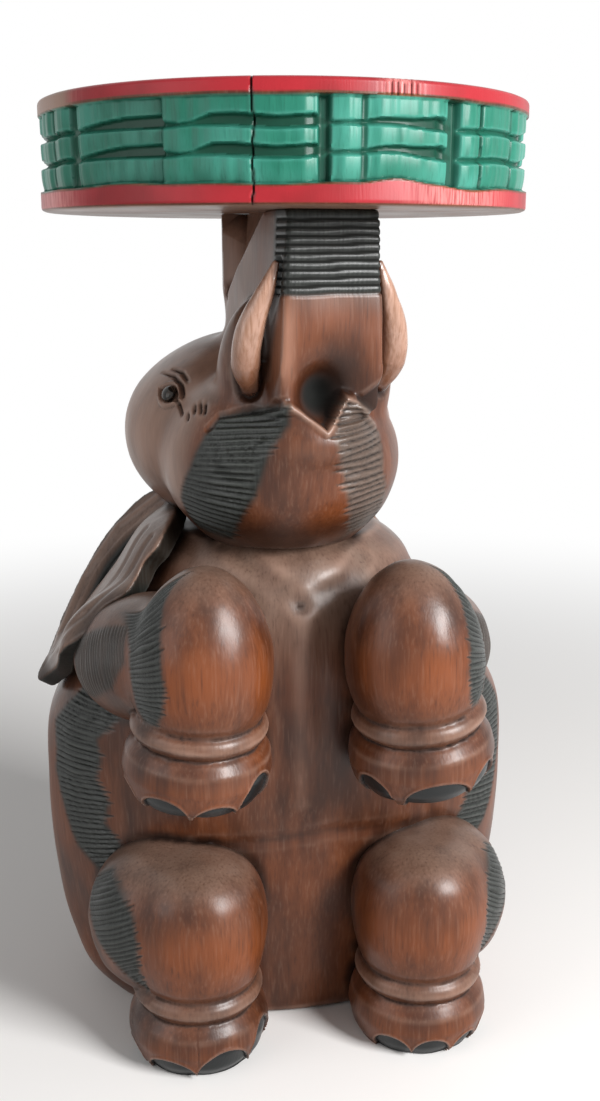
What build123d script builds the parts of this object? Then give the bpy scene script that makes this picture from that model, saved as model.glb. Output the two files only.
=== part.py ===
from build123d import *
import os
from math import cos, radians, sin, tan

# Carved elephant stool: an elephant sits upright and carries a round top on its raised trunk.
# Millimetres, +Z up, the elephant faces -Y. Left and right are its own, so its right side is at -X.

RIGHT = -1
LEFT = 1

# Overall
stool_height = 560.0
top_radius = 140.0
top_thickness = 59.0
top_underside = stool_height - top_thickness
neck_height = 313.0  # flat joint between the body and the head

# Body: egg-shaped sections, flatter in front, as (height, half width, front y, back y)
body_centre = (-1.5, 22.0)
body_sections = [
    (0.0, 110.0, -36.0, 100.0),
    (14.0, 124.0, -38.0, 115.0),
    (46.0, 138.0, -42.0, 129.0),
    (95.0, 147.0, -50.0, 137.0),
    (150.0, 149.0, -60.0, 138.0),
    (205.0, 143.0, -66.0, 133.0),
    (250.0, 113.0, -68.0, 119.0),
    (285.0, 87.0, -62.0, 104.0),
    (neck_height, 71.0, -50.0, 92.0),
]
tail_path = [(-2.0, 127.0, 172.0), (0.0, 136.0, 140.0), (3.0, 135.0, 108.0), (2.0, 131.0, 78.0)]
tail_radii = [5.0, 6.0, 5.5, 8.0]

# Legs: radii and heights along the leg, measured from the sole
sole_radius = 36.0
sole_core = 29.0  # below the sole, on the length that is cut off flat
sole_spare = 20.0
hoof_radius = 43.0
hoof_height = 38.0
groove_radius = 35.5
ring_radius = 39.0
ring_height = 11.0
ring_top = hoof_height + ring_height

# Hind legs; the carving isn't quite even, so each side has its own places
hind_sole_x = {RIGHT: -63.0, LEFT: 75.0}
hind_sole_y = -58.0
hind_lean = 3.0  # degrees that the leg leans forward as it rises
hind_profile = [(43.5, 84.0), (36.0, 112.0), (0.0, 133.0)]  # knee, shoulder of the knee and crown
hind_back = -18.0  # flat glued face against the body
thigh_x = {RIGHT: -83.0, LEFT: 89.0}
thigh_centre = (-44.0, 84.0)  # y and height
thigh_radius = 46.0
thigh_tall = 49.0

# Forelegs
fore_sole_x = {RIGHT: -63.5, LEFT: 71.0}
fore_knee_x = {RIGHT: -59.5, LEFT: 62.0}
fore_sole = (-78.0, 177.0)  # y and height
fore_lean = 7.0
fore_profile = [(41.0, 77.0), (33.0, 111.0), (0.0, 138.0)]
fore_glue = 40.0  # flat glued face behind the knee's axis
fore_glue_turn = 40.0  # degrees that this face turns outward
arm_x = {RIGHT: -85.0, LEFT: 78.0}
arm_centre = (-46.0, 248.0)  # y and height
arm_radius = 39.0
arm_half_length = 66.0
arm_swing = 28.0  # degrees outward
arm_drop = 13.0  # degrees down towards the elbow

# Head, turned a little to its left about the upright axis; sizes are in its own turned frame
head_turn = 10.0
skull_centre = (-5.0, 38.0, 370.0)
skull_radius = 84.0
skull_tall = 63.0
jaw_centre = (-7.0, -13.0, 360.0)
jaw_radius = 71.0
jaw_tall = 60.0
trunk_front = -85.0
trunk_foot = 392.0
trunk_half_foot = 31.0
trunk_half_top = 26.0
column_back = 23.0
column_half = 32.0
cheek_centre = (27.0, -38.0, 410.0)
cheek_radius = 25.0
cheek_tall = 44.0
recess_apex = (-22.0, 455.0)
recess_front = -56.0
recess_back = 14.0
recess_deep = 16.0
mouth_x = -7.0  # the mouth sits slightly to the elephant's right
lip_front = -90.0
lip_root = -45.0
lip_notch = 385.0
lip_peak = (17.0, 402.0)  # sideways from the mouth, and height
lip_corner = (36.0, 368.0)
lip_spread = 1.5  # how much wider the lip is at its root
mouth_half = 12.0
mouth_top = 408.0
mouth_floor = 390.0
mouth_back = -61.0

# Tusks: centre line and radii
tusk_path = [
    (40.0, -56.0, 403.0),
    (44.5, -62.0, 418.0),
    (43.5, -68.0, 438.0),
    (36.0, -73.0, 457.0),
    (30.0, -76.0, 473.0),
]
tusk_radii = [5.5, 9.0, 8.5, 6.0, 2.0]

eye_place = (66.0, -37.0, 28.0)  # from the skull's centre
eye_radius = 6.0

# Ears: a leaf outline on a leaning plane, as (towards the back, up)
ear_root = (54.0, 68.0, 304.0)
ear_lean = 40.0  # degrees that the ear spreads outward as it drops
ear_swing = 38.0  # degrees that its outer face turns to the front
ear_thick = 15.0
ear_pin_place = (-8.0, -42.0)  # dowel, on the ear's inner face
ear_outline = [
    (-22.0, 8.0),
    (-36.0, -28.0),
    (-42.0, -72.0),
    (-31.0, -114.0),
    (-16.0, -127.0),
    (8.0, -108.0),
    (24.0, -66.0),
    (30.0, -22.0),
    (16.0, 14.0),
]

# Round top
rim_band_top = 8.0
rim_band_foot = 11.0
rim_bars = 3
bar_groove_sink = 6.5
rim_ease = 2.0  # radius of the rim's rounded corners

# Dowels
dowel_radius = 6.0
dowel_half = 20.0
pin_radius = 4.0
pin_half = 9.0
neck_dowel_x = 25.0
neck_dowel_y = 10.0
top_dowel_places = (-68.0, -2.0)
hind_dowel_heights = (45.0, 105.0)
fore_dowel_heights = (-20.0, 8.0)  # from the knee's height
fore_dowel_out = 46.0  # outward along the glued face

head_frame = Location((0, 0, 0), (0, 0, head_turn))
quarter_pull = 0.5523  # handle length of a Bezier curve that follows a quarter circle of radius 1


def egg(plane, radius, tall):
    """Half ellipse turned about the plane's own upright line, added to the part in hand."""
    wide_pull = radius * quarter_pull
    tall_pull = tall * quarter_pull
    with BuildSketch(plane) as profile:
        with BuildLine():
            Bezier((0, -tall), (wide_pull, -tall), (radius, -tall_pull), (radius, 0))
            Bezier((radius, 0), (radius, tall_pull), (wide_pull, tall), (0, tall))
            Line((0, tall), (0, -tall))
        make_face()
    revolve(profile.sketch, axis=Axis(plane.origin, plane.y_dir))


def upright(centre):
    """Plane through a centre, facing forward, with its own y along +Z."""
    return Plane(origin=centre, x_dir=(1, 0, 0), z_dir=(0, -1, 0))


def leaning(centre, outward, up):
    """Plane whose own y runs along a given direction."""
    along = Vector(*up).normalized()
    across = Vector(*outward)
    return Plane(origin=centre, x_dir=across, z_dir=across.cross(along))


def horn(points, radii):
    """Loft of round sections, square to a smooth line through the points."""
    with BuildLine() as route:
        Spline(*points)
    line = route.edge()
    sections = []
    for point, radius in zip(points, radii):
        heading = line.tangent_at(line.param_at_point(point))
        with BuildSketch(Plane(origin=point, z_dir=heading)) as section:
            Circle(radius)
        sections.append(section.sketch)
    loft(sections)


def leg_turning(plane, profile):
    """Hoof, ankle ring and knee, turned about the leg's own axis."""
    crown = profile[-1][1]
    with BuildSketch(plane) as half:
        with BuildLine():
            Line((0, -sole_spare), (sole_core, -sole_spare))
            Line((sole_core, -sole_spare), (sole_radius, 0))
            groove = (groove_radius, hoof_height)
            ThreePointArc((sole_radius, 0), (hoof_radius, hoof_height / 2), groove)
            ThreePointArc(groove, (ring_radius, (hoof_height + ring_top) / 2), (groove_radius, ring_top))
            Spline((groove_radius, ring_top), *profile, tangents=[(0.6, 1), (-1, 0)])
            Line((0, crown), (0, -sole_spare))
        make_face()
    revolve(half.sketch, axis=Axis(plane.origin, plane.y_dir))


def hind_leg(side):
    """Seated hind leg with its thigh, cut flat behind and below."""
    lean = radians(hind_lean)
    turning = leaning((hind_sole_x[side], hind_sole_y, 0), (1, 0, 0), (0, -sin(lean), cos(lean)))
    with BuildPart() as leg:
        leg_turning(turning, hind_profile)
        egg(upright((thigh_x[side], *thigh_centre)), thigh_radius, thigh_tall)
        split(bisect_by=Plane.XY, keep=Keep.TOP)
        split(bisect_by=Plane.XZ.offset(-hind_back), keep=Keep.TOP)
    return leg.part


def fore_glue_plane(side):
    """Glued face of a foreleg; its normal points out of the body."""
    turn = radians(fore_glue_turn)
    outward = Vector(side * sin(turn), -cos(turn), 0)
    knee = Vector(fore_knee_x[side], fore_sole[0], fore_sole[1] + fore_profile[0][1])
    return Plane(origin=knee - outward * fore_glue, z_dir=outward)


def fore_leg(side):
    """Raised foreleg: hoof, ring and knee in front, and the upper arm back to the elbow."""
    sole = (fore_sole_x[side], *fore_sole)
    knee_height = fore_profile[0][1]
    rise = Vector(fore_knee_x[side] - sole[0], -tan(radians(fore_lean)) * knee_height, knee_height)
    sideways = Vector(0, 1, 0).cross(rise).normalized()
    turning = leaning(sole, sideways, rise)
    swing = radians(arm_swing)
    drop = radians(arm_drop)
    arm_way = Vector(side * sin(swing), cos(swing) * cos(drop), -sin(drop))
    arm_across = arm_way.cross(Vector(0, 0, 1)).normalized()
    arm = leaning((arm_x[side], *arm_centre), arm_across, arm_way)
    with BuildPart() as leg:
        leg_turning(turning, fore_profile)
        split(bisect_by=Plane(origin=sole, z_dir=turning.y_dir), keep=Keep.TOP)
        egg(arm, arm_radius, arm_half_length)
        split(bisect_by=Plane.XY.offset(neck_height), keep=Keep.BOTTOM)
        split(bisect_by=fore_glue_plane(side), keep=Keep.TOP)
    return leg.part


def in_head(point):
    """A point of the head's own frame, in the stool's frame."""
    return (head_frame * Location(point)).position


def head_plane(plane):
    """A plane of the head's own frame, in the stool's frame."""
    return Plane(head_frame * plane.location)


def ear_plane(side):
    """Inner face of an ear: z points out of the ear, y up along it."""
    lean = radians(ear_lean)
    swing = radians(ear_swing)
    down = Vector(side * sin(lean), 0, -cos(lean))
    backward = Vector(side * sin(swing), cos(swing), 0)
    outward = (backward.cross(down) * -side).normalized()
    root = (side * ear_root[0], ear_root[1], ear_root[2])
    return head_plane(Plane(origin=root, x_dir=-down.cross(outward), z_dir=outward))


def ear_flap(side):
    """Leaf-shaped ear flap."""
    inner = ear_plane(side)
    with BuildPart() as flap:
        with BuildSketch(inner):
            with BuildLine():
                Spline(*[(side * back, up) for back, up in ear_outline], periodic=True)
            make_face()
        extrude(amount=ear_thick, dir=inner.z_dir)
    return flap.part


def tusk(side):
    """Curved tusk beside the trunk."""
    with BuildPart() as horn_part:
        horn([in_head((side * x, y, z)) for x, y, z in tusk_path], tusk_radii)
    return horn_part.part


def eye_bead(side):
    """Round bead set into the side of the head."""
    sideways, forward, up = eye_place
    x, y, z = skull_centre
    with BuildPart() as bead:
        with Locations(in_head((x + side * sideways, y + forward, z + up))):
            Sphere(eye_radius)
    return bead.part


def rod_group(planes, radius, half_length):
    """Round dowels centred on planes, along their normals."""
    with BuildPart() as rods:
        for plane in planes:
            with BuildSketch(plane):
                Circle(radius)
            extrude(amount=half_length, both=True)
    return rods.part


def cut_from(piece, *others):
    """A piece with the room for its neighbours taken out."""
    with BuildPart() as trimmed:
        add(piece)
        for other in others:
            add(other, mode=Mode.SUBTRACT)
    return trimmed.part


# Round top: plain bands above and below, rounded bars with grooves between them
foot_edge = top_underside + rim_band_foot
band_edge = stool_height - rim_band_top
groove_floor = top_radius - bar_groove_sink
bar_tall = (band_edge - foot_edge) / rim_bars
ease_start = top_radius - rim_ease
with BuildPart() as round_top:
    with BuildSketch(Plane.XZ):
        with BuildLine():
            Line((0, top_underside), (ease_start, top_underside))
            RadiusArc((ease_start, top_underside), (top_radius, top_underside + rim_ease), -rim_ease)
            Line((top_radius, top_underside + rim_ease), (top_radius, foot_edge))
            Line((top_radius, foot_edge), (groove_floor, foot_edge))
            for bar in range(rim_bars):
                low = foot_edge + bar * bar_tall
                high = low + bar_tall
                ThreePointArc((groove_floor, low), (top_radius, (low + high) / 2), (groove_floor, high))
            Line((groove_floor, band_edge), (top_radius, band_edge))
            Line((top_radius, band_edge), (top_radius, stool_height - rim_ease))
            RadiusArc((top_radius, stool_height - rim_ease), (ease_start, stool_height), -rim_ease)
            Line((ease_start, stool_height), (0, stool_height))
            Line((0, stool_height), (0, top_underside))
        make_face()
    revolve(axis=Axis.Z)

# Head with jaw, lips, trunk and the column behind the trunk
with BuildPart() as head:
    egg(head_plane(upright(skull_centre)), skull_radius, skull_tall)
    egg(head_plane(upright(jaw_centre)), jaw_radius, jaw_tall)
    for side in (RIGHT, LEFT):
        x, y, z = cheek_centre
        egg(head_plane(upright((side * x, y, z))), cheek_radius, cheek_tall)
    trunk_ends = []
    for level, half in ((trunk_foot, trunk_half_foot), (top_underside, trunk_half_top)):
        with BuildSketch(head_plane(Plane.XY.offset(level))) as section:
            Polygon(
                (-half, trunk_front),
                (half, trunk_front),
                (column_half, column_back),
                (-column_half, column_back),
                align=None,
            )
        trunk_ends.append(section.sketch)
    loft(trunk_ends)
    lip_ends = []
    for y, spread in ((lip_root, lip_spread), (lip_front, 1.0)):
        with BuildSketch(head_plane(upright((mouth_x, y, 0)))) as section:
            Polygon(
                (-lip_corner[0] * spread, lip_corner[1]),
                (lip_corner[0] * spread, lip_corner[1]),
                (lip_peak[0] * spread, lip_peak[1]),
                (0, lip_notch),
                (-lip_peak[0] * spread, lip_peak[1]),
                align=None,
            )
        lip_ends.append(section.sketch)
    loft(lip_ends)
    with BuildSketch(head_plane(upright((mouth_x, mouth_back, 0)))) as section:
        Polygon((-mouth_half, mouth_top), (0, mouth_floor), (mouth_half, mouth_top), align=None)
    extrude(section.sketch, amount=mouth_back - lip_front, mode=Mode.SUBTRACT)
    for side in (RIGHT, LEFT):
        wall = (side * (column_half - recess_deep), 0, 0)
        with BuildSketch(head_plane(Plane(origin=wall, x_dir=(0, 1, 0), z_dir=(1, 0, 0)))) as section:
            Polygon(
                (recess_front, top_underside),
                recess_apex,
                (recess_back, top_underside),
                align=None,
            )
        extrude(section.sketch, amount=side * column_half, mode=Mode.SUBTRACT)
    split(bisect_by=Plane.XY.offset(neck_height), keep=Keep.TOP)

# Pieces that the head and the body are cut to fit
ears = {side: ear_flap(side) for side in (RIGHT, LEFT)}
tusks = {side: tusk(side) for side in (RIGHT, LEFT)}
eyes = {side: eye_bead(side) for side in (RIGHT, LEFT)}
hind_legs = {side: hind_leg(side) for side in (RIGHT, LEFT)}
fore_legs = {side: fore_leg(side) for side in (RIGHT, LEFT)}

# Dowels, centred on the joints that they cross
neck_places = [(side * neck_dowel_x, neck_dowel_y, neck_height) for side in (RIGHT, LEFT)]
neck_planes = [Plane(origin=in_head(place)) for place in neck_places]
top_planes = [Plane(origin=in_head((0, y, top_underside))) for y in top_dowel_places]
hind_planes = []
fore_planes = []
ear_planes = []
for side in (RIGHT, LEFT):
    for height in hind_dowel_heights:
        hind_planes.append(Plane(origin=(hind_sole_x[side], hind_back, height), z_dir=(0, -1, 0)))
    glue = fore_glue_plane(side)
    turn = radians(fore_glue_turn)
    for height in fore_dowel_heights:
        shift = Vector(side * cos(turn), sin(turn), 0) * fore_dowel_out
        fore_planes.append(Plane(origin=glue.origin + shift + Vector(0, 0, height), z_dir=glue.z_dir))
    inner = ear_plane(side)
    pin_place = inner.from_local_coords((side * ear_pin_place[0], ear_pin_place[1], 0))
    ear_planes.append(Plane(origin=pin_place, z_dir=inner.z_dir))
neck_dowels = rod_group(neck_planes, dowel_radius, dowel_half)
top_dowels = rod_group(top_planes, dowel_radius, dowel_half)
hind_leg_dowels = rod_group(hind_planes, dowel_radius, dowel_half)
foreleg_dowels = rod_group(fore_planes, dowel_radius, dowel_half)
ear_dowels = rod_group(ear_planes, pin_radius, pin_half)

# Body: the carved log with a small tail in relief on its back
with BuildPart() as body:
    for height, half, front, back in body_sections:
        with BuildSketch(Plane.XY.offset(height)):
            with BuildLine():
                middle = body_centre[1]
                EllipticalCenterArc(body_centre, half, back - middle, start_angle=0, arc_size=180)
                EllipticalCenterArc(body_centre, half, middle - front, start_angle=180, arc_size=180)
            make_face()
    loft()
    horn(tail_path, tail_radii)
    for taken in (*hind_legs.values(), *fore_legs.values(), *ears.values()):
        add(taken, mode=Mode.SUBTRACT)
    for taken in (neck_dowels, foreleg_dowels, hind_leg_dowels, ear_dowels):
        add(taken, mode=Mode.SUBTRACT)

# Every node by its name
pieces = {
    "body": body.part,
    "head": cut_from(head.part, ears[RIGHT], *tusks.values(), *eyes.values(), neck_dowels, top_dowels),
    "round_top": cut_from(round_top.part, top_dowels),
    "neck_dowels": neck_dowels,
    "top_dowels": top_dowels,
    "foreleg_dowels": foreleg_dowels,
    "hind_leg_dowels": hind_leg_dowels,
    "ear_dowels": ear_dowels,
}
for side, side_name in ((RIGHT, "right"), (LEFT, "left")):
    pieces[f"foreleg_{side_name}"] = cut_from(fore_legs[side], foreleg_dowels)
    pieces[f"hind_leg_{side_name}"] = cut_from(hind_legs[side], hind_leg_dowels)
    pieces[f"ear_{side_name}"] = cut_from(ears[side], fore_legs[side], ear_dowels)
    pieces[f"tusk_{side_name}"] = tusks[side]
    pieces[f"eye_{side_name}"] = eyes[side]

os.makedirs("parts", exist_ok=True)
for name, piece in pieces.items():
    piece.label = name
    export_step(piece, f"parts/{name}.step")
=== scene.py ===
import math

import bpy
import numpy as np
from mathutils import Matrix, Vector, kdtree, noise


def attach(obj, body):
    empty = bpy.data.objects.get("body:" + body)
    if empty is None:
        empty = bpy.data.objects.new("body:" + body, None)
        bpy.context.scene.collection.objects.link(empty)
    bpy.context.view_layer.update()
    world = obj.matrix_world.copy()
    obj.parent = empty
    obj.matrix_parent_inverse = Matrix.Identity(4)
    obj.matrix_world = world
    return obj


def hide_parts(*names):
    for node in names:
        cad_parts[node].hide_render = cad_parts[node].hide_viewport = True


# A carved elephant sits upright and carries a painted round top on its raised trunk.
# Sizes are in millimetres and are turned to metres where a mesh is written.
# The elephant faces -Y; right and left are its own, so its right side is at -X.

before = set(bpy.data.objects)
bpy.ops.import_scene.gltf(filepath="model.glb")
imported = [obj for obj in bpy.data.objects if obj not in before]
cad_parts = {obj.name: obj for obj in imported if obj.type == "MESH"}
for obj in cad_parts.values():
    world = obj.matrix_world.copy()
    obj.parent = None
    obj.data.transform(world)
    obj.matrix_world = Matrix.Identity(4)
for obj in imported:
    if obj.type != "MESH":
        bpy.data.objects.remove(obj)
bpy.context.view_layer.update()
print("frame loaded")

mm = 0.001
sameSpot = 1e-6  # metres, points closer than this are one
right, left = -1, 1
sides = (right, left)
sideNames = {right: "right", left: "left"}
headTurn = math.radians(10)  # the head looks a little to the elephant's left


def pickOnly(*pieces):
    if bpy.context.object and bpy.context.object.mode != "OBJECT":
        bpy.ops.object.mode_set(mode="OBJECT")
    bpy.ops.object.select_all(action="DESELECT")
    for piece in pieces:
        piece.select_set(True)
    bpy.context.view_layer.objects.active = pieces[0]


def applyPlace(piece):
    pickOnly(piece)
    bpy.ops.object.transform_apply(location=True, rotation=True, scale=True)
    return piece


def readAll(items, name, kind=np.float32, width=1):
    flat = np.empty(len(items) * width, kind)
    items.foreach_get(name, flat)
    return flat


def getPoints(piece):  # every vertex in millimetres
    return readAll(piece.data.vertices, "co", width=3).reshape(-1, 3).astype(float) / mm


def setPoints(piece, points):
    piece.data.vertices.foreach_set("co", (points * mm).astype(np.float32).ravel())
    piece.data.update()


def getNormals(piece):
    return readAll(piece.data.vertex_normals, "vector", width=3).reshape(-1, 3).astype(float)


def paintPoints(piece, **masks):  # masks from 0 to 1 that the materials read
    for name, values in masks.items():
        layer = piece.data.attributes.get(name) or piece.data.attributes.new(name, "FLOAT", "POINT")
        layer.data.foreach_set("value", np.clip(values, 0, 1).astype(np.float32))


def useModifier(piece, kind, **settings):
    pickOnly(piece)
    modifier = piece.modifiers.new(kind.title(), kind)
    for name, value in settings.items():
        setattr(modifier, name, value)
    bpy.ops.object.modifier_apply(modifier=modifier.name)


def joined(name, *pieces):
    pickOnly(*pieces)
    if len(pieces) > 1:
        bpy.ops.object.join()
    piece = bpy.context.object
    piece.name = name
    piece.data.name = name
    return piece


def clay(piece, voxel, rounds=4, factor=0.5):  # joins overlapping forms into one even skin
    useModifier(piece, "REMESH", mode="VOXEL", voxel_size=voxel * mm)
    if rounds:
        useModifier(piece, "SMOOTH", factor=factor, iterations=rounds)
    return piece


def averaged(piece, points, rounds, weight=1.0):  # points drift towards the mean of their neighbours
    pairs = readAll(piece.data.edges, "vertices", np.int32, 2)
    first, second = pairs.reshape(-1, 2).T
    number = len(points)
    count = np.maximum(np.bincount(pairs, minlength=number), 1)
    weight = np.broadcast_to(weight, number)
    points = points.copy()
    for _ in range(rounds):
        for axis in range(3):
            column = points[:, axis].copy()
            total = np.bincount(first, column[second], number) + np.bincount(second, column[first], number)
            points[:, axis] = column + weight * 0.7 * (total / count - column)
    return points


def hollowness(piece, rounds=6):  # above 0 in grooves and below 0 on edges, in millimetres
    points = getPoints(piece)
    return ((averaged(piece, points, rounds) - points) * getNormals(piece)).sum(1)


def editWhole(piece, operator, **settings):  # one mesh operator over every face of a piece
    pickOnly(piece)
    bpy.ops.object.mode_set(mode="EDIT")
    bpy.ops.mesh.select_all(action="SELECT")
    operator(**settings)
    bpy.ops.object.mode_set(mode="OBJECT")


def cutFlat(piece, place, outward):  # saws off what lies beyond a plane
    settings = {"plane_co": Vector(place) * mm, "plane_no": outward, "use_fill": True}
    editWhole(piece, bpy.ops.mesh.bisect, clear_outer=True, threshold=sameSpot, **settings)


def cutWith(piece, *tools):
    for tool in tools:
        useModifier(piece, "BOOLEAN", operation="DIFFERENCE", solver="MANIFOLD", object=tool)


def thrownAway(*pieces):
    for piece in pieces:
        bpy.data.objects.remove(piece, do_unlink=True)


def roughCopy(piece, voxel, shrink):  # a coarse, slightly smaller twin that cuts a pocket
    twin = piece.copy()
    twin.data = piece.data.copy()
    bpy.context.collection.objects.link(twin)
    useModifier(twin, "REMESH", mode="VOXEL", voxel_size=voxel * mm)
    useModifier(twin, "DISPLACE", strength=-shrink * mm, mid_level=0)
    return twin


def finer(piece, chosen, cuts=1):  # subdivides the faces whose points are all chosen
    piece.data.validate()  # a saw cut can leave doubled faces
    useModifier(piece, "TRIANGULATE", min_vertices=5)
    corners = readAll(piece.data.loops, "vertex_index", np.int32)
    starts = readAll(piece.data.polygons, "loop_start", np.int32)
    inside = np.minimum.reduceat(chosen[corners].astype(np.int8), starts).astype(bool)
    bpy.ops.object.mode_set(mode="EDIT")
    bpy.ops.mesh.select_mode(type="FACE")
    bpy.ops.mesh.select_all(action="DESELECT")
    bpy.ops.object.mode_set(mode="OBJECT")
    piece.data.polygons.foreach_set("select", inside)
    bpy.ops.object.mode_set(mode="EDIT")
    bpy.ops.mesh.subdivide(number_cuts=cuts, smoothness=0)
    bpy.ops.object.mode_set(mode="OBJECT")


def ball(centre, radii, along=(0, 0, 1)):  # an egg whose third radius runs along a direction
    lean = Vector((0, 0, 1)).rotation_difference(Vector(along)).to_euler()
    bpy.ops.mesh.primitive_uv_sphere_add(
        segments=64, ring_count=40, radius=mm, location=Vector(centre) * mm, rotation=lean
    )
    bpy.context.object.scale = radii
    return applyPlace(bpy.context.object)


def rolledSheet(columns, rows):  # a grid to be wrapped round an axis; its columns and rows run from 0 to 1
    bpy.ops.mesh.primitive_grid_add(x_subdivisions=columns, y_subdivisions=rows, size=2)
    piece = bpy.context.object
    raw = getPoints(piece) * mm
    return piece, (raw[:, 0] + 1) / 2, (raw[:, 1] + 1) / 2


def sewnUp(piece, points):  # the sheet's sides meet and its ends close to a point
    setPoints(piece, points)
    editWhole(piece, bpy.ops.mesh.remove_doubles, threshold=sameSpot)
    return piece


def turned(base, along, profile, columns=96, rows=120):  # (radius, height) points swept round an axis
    piece, column, row = rolledSheet(columns, rows)
    radii, heights = np.array(profile, float).T
    steps = np.concatenate([[0], np.cumsum(np.hypot(np.diff(radii), np.diff(heights)))])
    radius = np.interp(row, steps / steps[-1], radii)
    height = np.interp(row, steps / steps[-1], heights)
    angle = column * 2 * math.pi
    shaped = np.stack([np.cos(angle) * radius, np.sin(angle) * radius, height], 1)
    lean = Vector((0, 0, 1)).rotation_difference(Vector(along)).to_matrix()
    return sewnUp(piece, shaped @ np.array(lean).T + np.array(base, float))


def block(corners, top):  # a six-sided block from four foot corners and four top corners
    bpy.ops.mesh.primitive_cube_add(size=2)
    piece = bpy.context.object
    raw = getPoints(piece) * mm
    order = [(-1, -1), (1, -1), (1, 1), (-1, 1)]
    shaped = np.empty_like(raw)
    for index, (x, y, z) in enumerate(np.sign(raw)):
        place = order.index((int(x), int(y)))
        shaped[index] = (top if z > 0 else corners)[place]
    setPoints(piece, shaped)
    return piece


def spun(points, turn=headTurn):  # head frame to stool frame
    wheel = np.array([[math.cos(turn), -math.sin(turn), 0], [math.sin(turn), math.cos(turn), 0], [0, 0, 1]])
    return np.asarray(points, float) @ wheel.T


def smoothStep(low, high, values):
    part = np.clip((values - low) / (high - low), 0, 1)
    return part * part * (3 - 2 * part)


def hump(values, middle, reach):  # 1 at the middle, 0 beyond the reach, round in between
    return smoothStep(1, 0, np.abs(values - middle) / reach)


def softBowl(spots, x, z, halfWide, halfTall):  # 1 in the middle, fading all round
    return np.exp(-(((spots[:, 0] - x) / halfWide) ** 2 + ((spots[:, 1] - z) / halfTall) ** 2))


def bumps(points, size, seed=0.0):  # gentle unevenness of hand work, about -1 to 1
    scaled = points / np.array(size) + seed * 17.3
    return np.array([noise.noise(Vector(point)) for point in scaled])


def unrolled(points, base, along, radius):  # turn from the front as millimetres at a radius, and height
    reach = points - base
    height = reach @ along
    flatX = np.array([1.0, 0, 0]) - along * along[0]
    flatY = np.array([0, -1.0, 0]) + along * along[1]
    turn = np.arctan2(reach @ flatX, reach @ flatY)
    return np.stack([turn * radius, height], 1)


def arc(line, radius):  # (degrees, height) to the same millimetres as unrolled gives
    return [(math.radians(turn) * radius, height) for turn, height in line]


def arcAlong(line, radius):  # (length, degrees) to the same millimetres as armFlat gives
    return [(length, math.radians(turn) * radius) for length, turn in line]


def nearLine(spots, line):  # distance to a broken line, and how far along it, from 0 to 1
    line = np.array(line, float)
    lengths = np.linalg.norm(np.diff(line, axis=0), axis=1)
    begins = np.concatenate([[0], np.cumsum(lengths)]) / lengths.sum()
    gap, place = np.full(len(spots), 1e9), np.zeros(len(spots))
    for index, (start, end) in enumerate(zip(line, line[1:])):
        way = end - start
        share = np.clip(((spots - start) @ way) / (way @ way), 0, 1)
        distance = np.linalg.norm(spots - start - share[:, None] * way, axis=1)
        closer = distance < gap
        gap = np.where(closer, distance, gap)
        place = np.where(closer, begins[index] + share * (begins[index + 1] - begins[index]), place)
    return gap, place


def insideBy(flat, outline):  # how far inside a closed outline each flat spot lies
    outline = np.array(outline, float)
    gap, odd = np.full(len(flat), 1e9), np.zeros(len(flat), bool)
    for start, end in zip(outline, np.roll(outline, -1, axis=0)):
        way = end - start
        share = np.clip(((flat - start) @ way) / (way @ way), 0, 1)
        gap = np.minimum(gap, np.linalg.norm(flat - start - share[:, None] * way, axis=1))
        crosses = (start[1] > flat[:, 1]) != (end[1] > flat[:, 1])
        rise = way[1] if abs(way[1]) > 1e-9 else 1e-9
        odd ^= crosses & (flat[:, 0] < start[0] + (flat[:, 1] - start[1]) / rise * way[0])
    return np.where(odd, gap, -gap)


def spread(line, count, draw):  # uneven stations along a broken line
    line = np.array(line, float)
    steps = np.concatenate([[0], np.cumsum(np.linalg.norm(np.diff(line, axis=0), axis=1))])
    stations = (np.arange(count) + 0.5 + 0.35 * (draw.random(count) - 0.5)) / count * steps[-1]
    return np.stack([np.interp(stations, steps, line[:, axis]) for axis in (0, 1)], 1)


def hatch(flat, outer, inner, count, seed, wide=1.5, overrun=3.5):  # gouge strokes from one edge to the other
    draw = np.random.default_rng(seed)
    starts, ends = spread(outer, count, draw), spread(inner, count, draw)
    ways = ends - starts
    ways /= np.linalg.norm(ways, axis=1)[:, None]
    ends += ways * (overrun * (1.5 * draw.random(count) - 0.3))[:, None]
    starts -= ways * (overrun * (0.8 * draw.random(count) - 0.3))[:, None]
    cut = np.zeros(len(flat))
    for start, end in zip(starts, ends):
        sag = (start + end) / 2 + draw.normal(0, 0.5, 2)
        gap, share = nearLine(flat, [start, sag, end])
        taper = np.sqrt(np.clip(np.minimum(share, 1 - share) * 5, 0.02, 1))
        cut = np.maximum(cut, np.clip(1 - gap / (wide * taper), 0, 1) * taper)
    stain = smoothStep(-3.0, 2.6, insideBy(flat, list(outer) + list(inner)[::-1]))
    return cut, np.maximum(stain, 0.9 * smoothStep(0.1, 0.6, cut))


def finished(piece, material, slot, *nodes):
    pickOnly(piece)
    piece.data.materials.clear()
    piece.data.materials.append(material)
    bpy.ops.object.shade_smooth_by_angle(angle=math.radians(60))
    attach(piece, "root")
    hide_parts(*nodes)
    print("made", piece.name, len(piece.data.polygons), "faces")
    return piece


def toLinear(hexColour):  # sRGB hex to the linear values that a shader takes
    values = [int(hexColour[i : i + 2], 16) / 255 for i in (1, 3, 5)]
    return tuple(v / 12.92 if v <= 0.04045 else ((v + 0.055) / 1.055) ** 2.4 for v in values) + (1.0,)


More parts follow.
